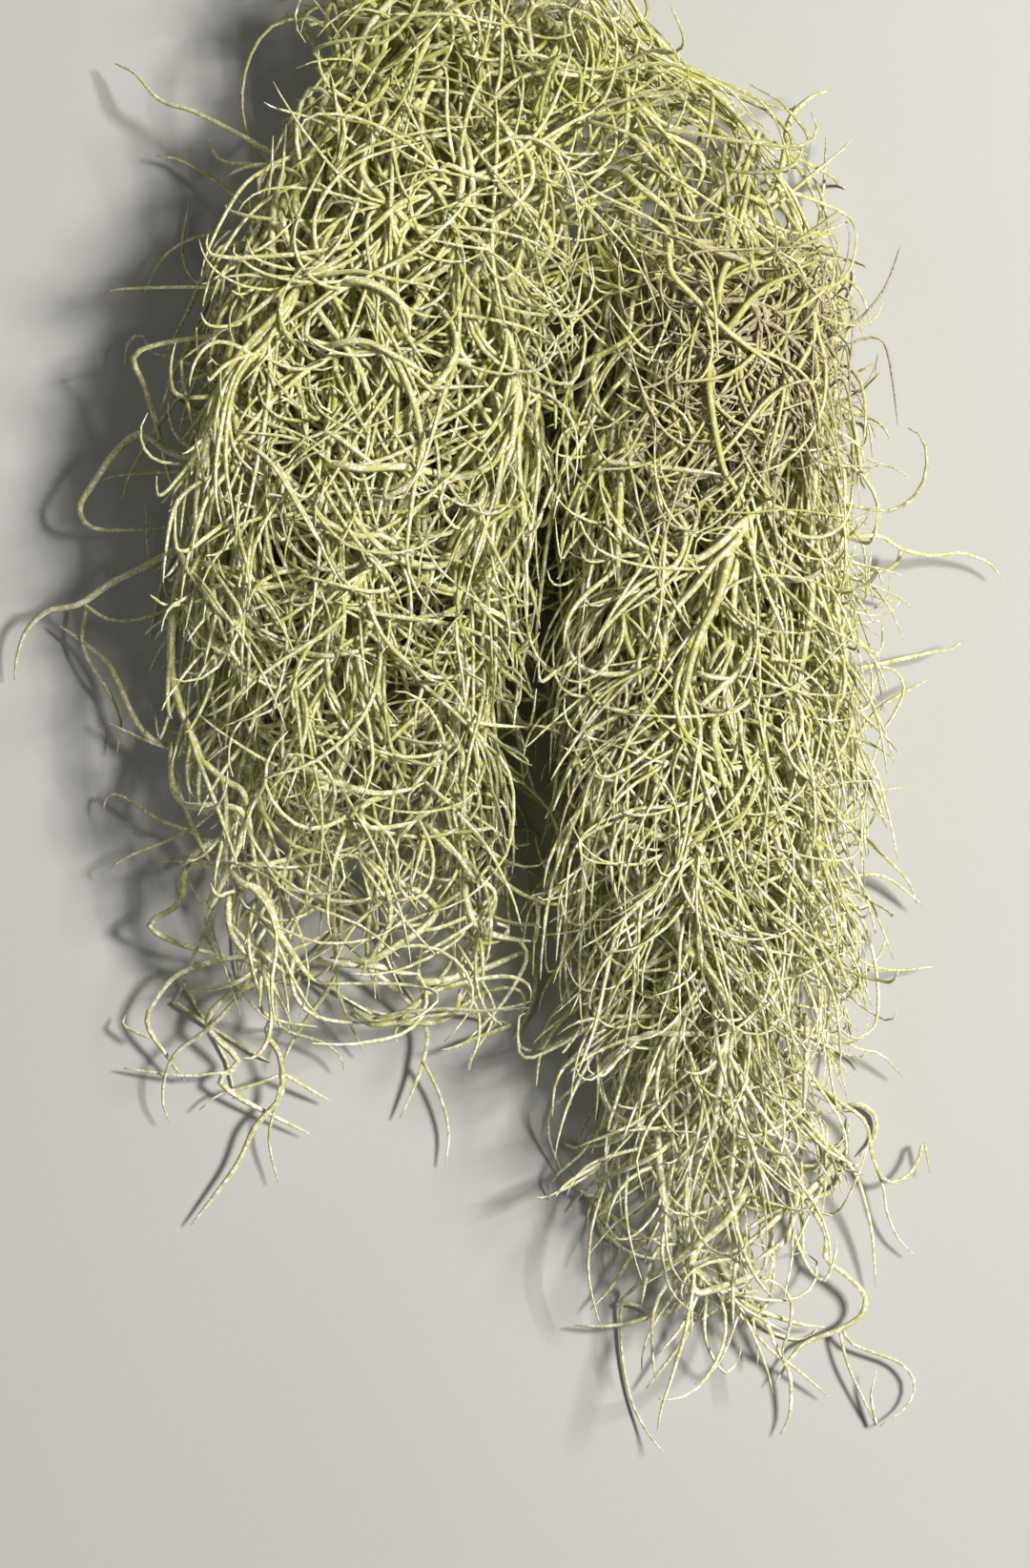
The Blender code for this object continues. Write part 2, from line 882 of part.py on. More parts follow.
def in_room(points):
    left, right, top, bottom = ROOM_PX
    low, high = at(left, bottom, 0), at(right, top, 0)
    return all(low.x < p.x < high.x and low.y < p.y < high.y for p in points)


def lift_clear(points, radii, others):
    """Raises or lowers the middle of a hand-placed strand, a little at a time, until it is clear.

    The root stays, and so does the last tenth, which the strand's tip is in.
    """
    for height in LIFTS:
        moved = []
        for i, p in enumerate(points):
            t = i / (len(points) - 1)
            share = math.sin(math.pi * min(1.0, t * 1.15 + 0.12)) ** 0.5 if 0 < t < 0.9 else 0.0
            moved.append(p + Vector((0, 0, height * MM * share)))
        lay_on_floor(moved, radii[0])
        if is_clear(moved, radii, others):
            return moved
    return None


def place_strays(tresses):
    """Adds the hand-placed strands. One rooted off its tress's strands starts in the core."""
    for name, (tress_name, kind, root_z, tip_z, pixels) in STRAYS.items():
        tress = tresses[tress_name]
        heights = [root_z + (tip_z - root_z) * i / (len(pixels) - 1) for i in range(len(pixels))]
        points = [at(x, y, z) for (x, y), z in zip(pixels, heights)]
        root = parent_point(tress, points[0])
        if root is None:
            points.insert(0, tress.nearest_on_core(points[0]).copy())
        else:
            points[0] = root
        count = max(5, round(line_length(points) / STRAY_STEP) + 1)
        points = smooth_line(points, count)
        radii = strand_radii(STEM_R if kind == "stem" else LEAF_R, count)
        others = np.concatenate([t.segments() for t in tresses.values() if t is not tress])
        moved = lift_clear(points, radii, others)
        if moved is None:
            print("stray left out:", name)
            continue
        if root is not None:
            moved[0] = root
        tress.strands.append((moved, radii))


def parent_point(tress, point):
    """The nearest point on a strand already in the tress, seen from above, or None if far."""
    best, found = ROOT_REACH, None
    for points, _radii in tress.strands:
        for a, b in zip(points, points[1:]):
            along = (b - a).to_2d()
            share = (point - a).to_2d().dot(along) / max(along.length_squared, 1e-12)
            on = a.lerp(b, min(1.0, max(0.0, share)))
            off = (on - point).to_2d().length
            if off < best:
                best, found = off, on
    return found


def place_sprigs(tress, count, others, rng):
    """Sprigs that stand out of the core, each a short stem with two leaves from its nodes."""
    golden = math.pi * (3 - math.sqrt(5))
    turn = rng.uniform(0, math.tau)
    for k in range(count):
        turn += golden
        for _attempt in range(SPRIG_TRIES):
            share = min(0.98, max(0.02, (k + rng.uniform(0, 1)) / count))
            centre, down, radius = tress.on_core(share)
            side = down.orthogonal().normalized()
            angle = turn + rng.uniform(-SPRIG_TURN, SPRIG_TURN)
            out = side * math.cos(angle) + down.cross(side).normalized() * math.sin(angle)
            heading = out * SPRIG_OUT + down * rng.uniform(*SPRIG_DOWN)
            length = rng.uniform(*SPRIG_LENGTH)
            bend = rng.uniform(*SPRIG_BEND) * rng.choice((-1, 1))
            towards = down * 0.8 + Vector((rng.gauss(0, 1), rng.gauss(0, 1), rng.gauss(0, 0.5)))
            more_bend, twist = rng.uniform(*MORE_BEND), rng.uniform(*SPRIG_TWIST)
            stem = curl(centre, heading, towards, length, bend, more_bend, twist, STEM_STEPS)
            stem = lay_on_floor(stem, STEM_R)
            radii = strand_radii(STEM_R, len(stem))
            if in_room(stem) and is_clear(stem, radii, others, tress):
                tress.strands.append((stem, radii))
                place_leaves(tress, tress.strands[-1], others, rng)
                break


def place_leaves(tress, sprig, others, rng):
    """Leaves from the nodes of a sprig's stem, on opposite sides in turn."""
    stem = sprig[0]
    flip = rng.choice((-1, 1))
    for node in LEAF_NODES:
        flip = -flip
        for _attempt in range(LEAF_TRIES):
            along = (stem[node + 1] - stem[node]).normalized()
            side = along.cross(Vector((rng.gauss(0, 0.4), rng.gauss(0, 0.4), 1))).normalized() * flip
            heading = along + side * rng.uniform(*LEAF_OUT)
            bend, more_bend = rng.uniform(*LEAF_BEND), rng.uniform(*MORE_BEND)
            length, twist = rng.uniform(*LEAF_LENGTH), rng.uniform(*LEAF_TWIST)
            towards = side * rng.choice((1, 1, -1))
            leaf = curl(stem[node], heading, towards, length, bend, more_bend, twist, LEAF_STEPS)
            leaf = [leaf[0], *lay_on_floor(leaf[1:], LEAF_R)]
            radii = strand_radii(LEAF_R, len(leaf))
            if in_room(leaf) and is_clear(leaf, radii, others, tress, sprig):
                tress.strands.append((leaf, radii))
                break


def place_ties(tresses, rng):
    """Stems drawn until each leans on a strand of the next tress and touches no other."""
    for name, neighbour_name in TIES:
        tress, neighbour = tresses[name], tresses[neighbour_name]
        strands = np.concatenate([rows_of(*strand) for strand in neighbour.strands])
        others = np.concatenate([t.segments() for t in tresses.values() if t is not tress])
        tie = draw_tie(tress, neighbour, strands, others, rng)
        if tie is None:
            print("no tie found:", name, neighbour_name)
        else:
            tress.strands.append(tie)


def draw_tie(tress, neighbour, strands, others, rng):
    for _attempt in range(TIE_TRIES):
        centre, _down, _radius = tress.on_core(rng.uniform(0.03, 0.97))
        goal = rng.choice(rng.choice(neighbour.strands)[0])
        reach = goal - centre
        off_core = (goal - neighbour.nearest_on_core(goal)).length
        if off_core > TIE_GOAL_REACH or not TIE_REACH[0] < reach.length < TIE_REACH[1]:
            continue
        around = Vector((rng.gauss(0, 1), rng.gauss(0, 1), rng.gauss(0, 1)))
        heading = reach.normalized() + around * TIE_STRAY
        length = reach.length * rng.uniform(1.1, 1.4)
        points = curl(centre, heading, around, length, rng.uniform(*TIE_BEND), 0, 0, STEM_STEPS)
        points = lay_on_floor(points, STEM_R)
        radii = strand_radii(STEM_R, len(points))
        leans = CLEARANCE <= gap_between(rows_of(points, radii), strands) <= LEANING
        if leans and in_room(points) and is_clear(points, radii, others):
            return points, radii
    return None


def press_flat(mesh):
    """Cuts a core off at the surface, so that it rests on flat spots."""
    work = bmesh.new()
    work.from_mesh(mesh)
    everything = [*work.verts, *work.edges, *work.faces]
    cut = bmesh.ops.bisect_plane(
        work, geom=everything, plane_co=(0, 0, 0), plane_no=(0, 0, -1), clear_outer=True
    )
    rim = [edge for edge in cut["geom_cut"] if isinstance(edge, bmesh.types.BMEdge)]
    if rim:
        bmesh.ops.edgeloop_fill(work, edges=rim)
    bmesh.ops.recalc_face_normals(work, faces=work.faces)
    work.to_mesh(mesh)
    work.free()


def core_mesh(tress):
    """The core, wound from skeins of old stems and pressed flat where it lies on the surface."""
    sides = CORE_LOBES * 2
    vertices, faces = tube(tress.core, tress.core_radii, sides, CORE_WINDING)
    for i, v in enumerate(vertices):
        ring, corner = divmod(i, sides)
        if corner % 2:
            v += (tress.core[ring] - v) * LOBE_DEPTH
    core = mesh_object(tress.name, vertices, faces)
    press_flat(core.data)
    return core


def keep_largest_shell(mesh):
    """Drops scraps and sealed hollows that the union left apart from the outer surface."""
    work = bmesh.new()
    work.from_mesh(mesh)
    left, shells = set(work.faces), []
    while left:
        stack = [left.pop()]
        shell = set(stack)
        while stack:
            for edge in stack.pop().edges:
                fresh = [face for face in edge.link_faces if face not in shell]
                shell.update(fresh)
                stack.extend(fresh)
        left -= shell
        shells.append(shell)
    largest = max(shells, key=len)
    scraps = [face for shell in shells if shell is not largest for face in shell]
    bmesh.ops.delete(work, geom=scraps, context="FACES")
    bmesh.ops.triangulate(work, faces=work.faces)
    work.to_mesh(mesh)
    work.free()


def fuse(tress):
    """One body from a tress's core and strands."""
    body = core_mesh(tress)
    repeats = bpy.data.collections.new(tress.name + "_strands")
    bpy.context.scene.collection.children.link(repeats)
    for i, (points, radii) in enumerate(tress.strands):
        strand = mesh_object(f"{tress.name}_strand_{i}", *tube(points, radii, STRAND_SIDES))
        bpy.context.scene.collection.objects.unlink(strand)
        repeats.objects.link(strand)
    union = body.modifiers.new("Union", "BOOLEAN")
    union.operation = "UNION"
    union.operand_type = "COLLECTION"
    union.collection = repeats
    union.solver = "MANIFOLD"
    graph = bpy.context.evaluated_depsgraph_get()
    fused = bpy.data.meshes.new_from_object(body.evaluated_get(graph))
    body.modifiers.clear()
    body.data = fused
    for strand in list(repeats.objects):
        bpy.data.objects.remove(strand)
    bpy.data.collections.remove(repeats)
    keep_largest_shell(fused)
    return body


def paint(body, kind):
    material = bpy.data.materials.get(kind) or bpy.data.materials.new(kind)
    material.use_nodes = True
    shader = material.node_tree.nodes["Principled BSDF"]
    shader.inputs["Base Color"].default_value = COLOURS[kind]
    shader.inputs["Roughness"].default_value = ROUGHNESS
    shader.inputs["Metallic"].default_value = 0.0
    body.data.materials.clear()
    body.data.materials.append(material)


def centre_on_origin(bodies):
    """Moves the meshes so that the bunch's box stands centred on the origin, at z = 0."""
    corners = np.array([tuple(v.co) for body in bodies for v in body.data.vertices])
    low, high = corners.min(0), corners.max(0)
    shift = Vector((-(low[0] + high[0]) / 2, -(low[1] + high[1]) / 2, -low[2]))
    for body in bodies:
        for v in body.data.vertices:
            v.co += shift
    size = [round(float(x) / MM, 2) for x in high - low]
    print("box mm:", size, "moved by mm:", [round(x / MM, 3) for x in shift])


def main():
    for obj in list(bpy.data.objects):
        bpy.data.objects.remove(obj)
    rng = random.Random(SEED)
    tresses = {name: Tress(name, line, radius) for name, (line, radius, _count) in TRESSES.items()}
    place_strays(tresses)
    for name, (_line, _radius, count) in TRESSES.items():
        others = np.concatenate([t.segments() for t in tresses.values() if t.name != name])
        place_sprigs(tresses[name], count, others, rng)
    place_ties(tresses, rng)
    bodies = []
    for tress in tresses.values():
        body = fuse(tress)
        paint(body, "dry" if tress.name == "dry_nest" else "live")
        bodies.append(body)
        print(tress.name, len(tress.strands), "strands", len(body.data.polygons), "triangles")
    centre_on_origin(bodies)
    print("triangles:", sum(len(body.data.polygons) for body in bodies))


main()
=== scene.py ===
"""The looks of the Spanish moss bunch: every strand as its own tapered tube, in one piece a tress.

Stems wander down their tress inside its envelope and kink at their nodes, where thin curled leaves
leave them. The strays that make the bunch's outline and the long strands on its front are given
one by one. Lengths are in metres, bends, turns and pulls in radians a metre, and angles in radians,
apart from the tables, whose units their comments give.
"""

import math

import bpy
import numpy as np
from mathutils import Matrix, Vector


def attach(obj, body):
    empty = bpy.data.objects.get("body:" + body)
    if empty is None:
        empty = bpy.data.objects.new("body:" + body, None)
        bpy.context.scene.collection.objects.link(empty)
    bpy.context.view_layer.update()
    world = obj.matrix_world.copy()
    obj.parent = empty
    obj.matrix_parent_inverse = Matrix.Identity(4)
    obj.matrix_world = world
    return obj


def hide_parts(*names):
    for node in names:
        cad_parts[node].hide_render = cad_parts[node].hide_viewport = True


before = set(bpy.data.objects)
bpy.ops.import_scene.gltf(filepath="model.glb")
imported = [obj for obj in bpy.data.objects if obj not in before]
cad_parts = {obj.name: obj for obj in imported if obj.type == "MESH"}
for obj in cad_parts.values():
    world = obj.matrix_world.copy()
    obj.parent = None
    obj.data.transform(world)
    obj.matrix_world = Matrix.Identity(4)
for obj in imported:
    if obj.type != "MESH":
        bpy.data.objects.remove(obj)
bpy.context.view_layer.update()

# Driving dimensions. One pixel of the photograph is 0.24 mm at the moss.
MM = 0.001
PIXEL = 0.24 * MM
ORIGIN_PX = (532.0, 730.5)  # the photograph's pixel above the frame's origin
PHOTO_CENTRE_PX = (540.0, 822.0)
PHOTO_HEIGHT_PX = 1644.0
DOWN = np.array([0.0, -1.0, 0.0])  # the way the bunch hung
UP = np.array([0.0, 0.0, 1.0])
SEED = 7

# Limits of the whole bunch
FLOOR_CLEARANCE = 0.3 * MM
FLOOR_SOFTNESS = 2.0 * MM
TOP_OF_BUNCH = 60.0 * MM
TOP_OF_FRONT = 65.0 * MM  # of the long strands that lie on the front
TOP_SOFTNESS = 3.5 * MM

# The strands' thickness: a taper is a radius, its spread, and two powers that shape its fine end
TIP_R = 0.13 * MM
LEAF_TAPER = (0.62 * MM, (0.7, 1.12), 3.2, 0.75)
STEM_TAPER = (0.88 * MM, (0.75, 1.15), 4, 0.7)
LEAF_R = LEAF_TAPER[0]
STEM_R = STEM_TAPER[0]
SIDES = 4
LINE_SAMPLES = 24  # between two points of a smooth line
MIDDLE_POINTS = 64
FEWEST_RINGS = 10

# Stems
STEM_STEPS = 34
STEM_LENGTH = (75.0 * MM, 150.0 * MM)
STEM_ROOM = 0.72  # the share of a stem's length that fits on its line below its start
START_LIMITS = (0.08, 0.9)
EARLY_STARTS = 0.9  # the smaller, the more stems start near the crown
NODE_STEPS = (4, 9)  # from one node of a stem to the next
KINK = (0.1, 0.45)
SWAY_LENGTH = (38.0 * MM, 80.0 * MM)  # of one swing of a stem from side to side
SWAY_SPREAD = (0.5, 1.5)
HEADING_SPREAD = 0.35
AXIS_SPREAD = 0.6  # of the axes that stems sway about, at their starts
AXIS_DRIFT = 0.12  # and from step to step
LOCKS = 6  # in each tress, stems gather in this many locks
LOCK_SHARE = 0.42  # a lock's radius as a share of its tress's
LOCK_PULL = 45  # back into its lock, for each half width that a stem is out of it

# Leaves
LEAF_RINGS = 12
LEAF_LENGTH = (24.0 * MM, 58.0 * MM)
LEAF_SLANT = (0.2, 0.9)
LEAF_BEND = (5, 62)
LEAF_WAYS = (1, 1, 1, -1)  # one leaf in four bends the other way
END_BEND = (-110, 80)  # what a leaf's bend gains towards its tip
HOOKED = 0.12  # the share of leaves that end in a hook
HOOK_BEND = (90, 190)
LEAF_TWIST = 14
WOBBLE = 15.0  # by which a leaf's bend differs from ring to ring
SECOND_LEAVES = 0.55  # the share of nodes with two leaves
FLATTENED = np.array([1.0, 1.0, 0.35])  # leaves spread more across the bunch than up and down
LEAST_DROOP = 0.3

# Tints, from 0 to 1: how green, how dry and how silvery a strand is
STEM_GREEN = (1.1, 1.2)  # the two powers of a beta curve
LEAF_GREEN = 0.8  # of its stem's green
LEAF_GREEN_SPREAD = (-0.25, 0.35)
STRAY_GREEN = (0.1, 0.6)
FRONT_GREEN = (0.0, 0.7)
DRY_SPREAD = (0.5, 1)
DRY_LEAVES = 0.03  # the share of leaves that are dry on a living stem
DRY_TINT = 0.8  # of dry leaves and dry front strands
DRY_THINNER = 0.25
SCURF_LENGTH = 320.0 * MM  # of the bunch, from its greener top to its more silvery foot
SCURF_ALONG = 0.35  # the share of the scurf that grows along each strand

# Strays and long strands on the front
STRAY_STEP = 2.5 * MM
FRONT_STEP = 1.8 * MM
FRONT_FIRST_NODE = (3, 7)
FRONT_NODE_STEPS = (7, 13)  # from one node of a front strand to the next
FRONT_REACH = 1.8  # of a tress's half width, over which its front slopes down
FRONT_LIFT = 6.5 * MM
FRONT_LIFT_SPREAD = (0.4, 1.2)
FRONT_SKIP = 4  # a front strand's height is read at every fourth ring
FRONT_THICKER = 1.1
FRONT_SIDE_SPREAD = 0.35
FRONT_DROOP = (5, 30)
ROOT_DIP = 9.0 * MM
ROOT_SHARE = 0.2  # of the strand, over which its root dips
TIP_DIP = 3.0 * MM

# The map for the bake gives each strand a square cell, with a strip for each of its ends
ATLAS_END = 0.1
ATLAS_MARGIN = 0.03
END_SIDES = (0.3, 0.7)
END_HEIGHT = 0.7 * ATLAS_END

# The lobes' edges in pixels of the photograph: rows of y, left edge, right edge
EDGES = {
    "left": [
        (-40, 350, 560), (60, 326, 600), (200, 304, 585), (300, 262, 585), (400, 240, 575),
        (500, 228, 562), (600, 224, 540), (800, 224, 535), (900, 236, 540), (1000, 268, 530),
        (1060, 285, 500), (1120, 300, 460), (1180, 300, 450),
    ],
    "right": [
        (-40, 560, 640), (60, 560, 700), (100, 600, 790), (200, 590, 842), (300, 570, 868),
        (400, 575, 872), (600, 600, 868), (700, 600, 882), (900, 594, 884), (1100, 590, 892),
        (1200, 600, 878), (1300, 640, 856), (1400, 684, 826), (1460, 690, 812),
    ],
    "dry": [(250, 668, 842), (560, 680, 850)],
    "crown": [
        (-40, 345, 590), (0, 335, 610), (40, 325, 640), (80, 322, 690), (110, 316, 760),
        (150, 300, 800), (200, 290, 825), (300, 250, 850),
    ],
}
HIGHEST_PX = {"left": -20.0, "right": 100.0, "dry": 290.0, "crown": -15.0}
LOWEST_PX = {"left": 1085.0, "right": 1410.0, "dry": 530.0, "crown": 560.0}
EDGE_SOFTNESS = 6.0 * MM
FOOT_SOFTNESS = 14.0 * MM
EDGE_SPREAD = 4.0 * MM  # how much strands differ in where they turn back
LEAF_SPREAD = 8.0 * MM  # how much farther out leaves may turn back
TOP_SPREAD = 1.3  # times these two at the lobes' tops
FOOT_SPREAD = 3.2  # and at their feet

# How the lobes' strands differ
FINER = {"left": 1.0, "right": 0.86, "dry": 0.8, "crown": 0.9}  # their thickness, as a share
LATE_STARTS = {"left": 1.9, "right": 1.7, "dry": 1.1, "crown": 1.1}  # greater, fewer at the foot
MOST_DROOP = {"left": 1.6, "right": 2.6, "dry": 1.6, "crown": 1.6}  # times their tress's follow

# Stage: the camera's lens and sensor in mm, and area lights as (place, size, watts, colour)
LENS = 100.0
SENSOR = 36.0
STRAY_HEIGHT = 15.0 * MM
FLOOR_SIZE = 6.0
SKY_STRENGTH = 0.065
LIT_PLACE = (0, 0, 0.02)
LIGHTS = {
    "key": ((0.9, 0.2, 1.25), 0.25, 37, (1.0, 0.965, 0.90)),
    "fill": ((-0.9, -0.3, 1.0), 0.9, 2, (1.0, 0.99, 0.96)),
}

# Each tress: its middle line from the crown to its tip as (pixel x, pixel y, height in mm), its
# half width and half height in mm, its stems, how sharply they sway in radians a metre, how
# strongly they follow the line, in the same unit, and the share of them that is dry.
TRESSES = {
    "left_outer_under": (
        [(325, 130, 16), (268, 330, 15), (232, 560, 14), (226, 760, 12), (255, 960, 10)],
        12, 11, 24, 50, 22, 0.03,
    ),
    "left_middle_under": (
        [(400, 90, 16), (350, 330, 15), (325, 600, 15), (335, 850, 13), (350, 1010, 9)],
        16, 12, 28, 50, 22, 0.03,
    ),
    "left_inner_under": (
        [(500, 90, 16), (478, 330, 15), (468, 600, 15), (465, 850, 13), (450, 1020, 9)],
        13, 12, 28, 50, 22, 0.03,
    ),
    "left_outer_over": (
        [(355, 100, 36), (292, 330, 40), (255, 560, 36), (258, 760, 30), (280, 940, 21), (288, 1060, 12)],
        13, 12, 36, 64, 17, 0.0,
    ),
    "left_middle_over": (
        [(445, 70, 38), (400, 330, 45), (385, 590, 42), (395, 820, 35), (400, 990, 22)],
        16, 12, 42, 64, 18, 0.0,
    ),
    "left_inner_over": (
        [(525, 130, 36), (520, 350, 39), (508, 560, 36), (492, 760, 31), (488, 960, 20)],
        11, 11, 36, 62, 20, 0.0,
    ),
    "right_inner_under": (
        [(655, 190, 16), (635, 400, 15), (640, 650, 15), (645, 900, 14), (655, 1150, 10)],
        10, 12, 38, 50, 26, 0.02,
    ),
    "right_middle_under": (
        [(735, 130, 16), (725, 400, 16), (738, 700, 16), (742, 1000, 14), (752, 1300, 8)],
        14, 12, 40, 50, 26, 0.02,
    ),
    "right_outer_under": (
        [(800, 170, 16), (822, 400, 15), (835, 680, 15), (838, 930, 14), (828, 1200, 9)],
        11, 12, 38, 50, 24, 0.02,
    ),
    "right_inner_over": (
        [(690, 160, 36), (672, 420, 40), (680, 680, 39), (690, 920, 33), (700, 1220, 18)],
        11, 12, 54, 54, 24, 0.02,
    ),
    "right_outer_over": (
        [(770, 150, 36), (800, 420, 40), (812, 680, 39), (815, 920, 33), (805, 1200, 18)],
        12, 12, 54, 58, 22, 0.08,
    ),
    "right_front": (
        [(735, 500, 48), (742, 700, 50), (746, 880, 46), (745, 1060, 36), (752, 1320, 16)],
        13, 8, 44, 56, 22, 0.0,
    ),
    "crown_left": (
        [(340, 110, 28), (400, 66, 33), (470, 54, 34), (550, 90, 32)],
        10, 10, 26, 90, 6, 0.0,
    ),
    "crown_bridge": (
        [(490, 210, 50), (555, 150, 48), (620, 120, 42), (705, 112, 34), (770, 150, 30)],
        9, 8, 17, 90, 6, 0.0,
    ),
    "dry_nest": (
        [(705, 315, 53), (752, 355, 55), (778, 415, 54), (718, 470, 52)],
        12, 6, 30, 100, 4, 0.8,
    ),
}

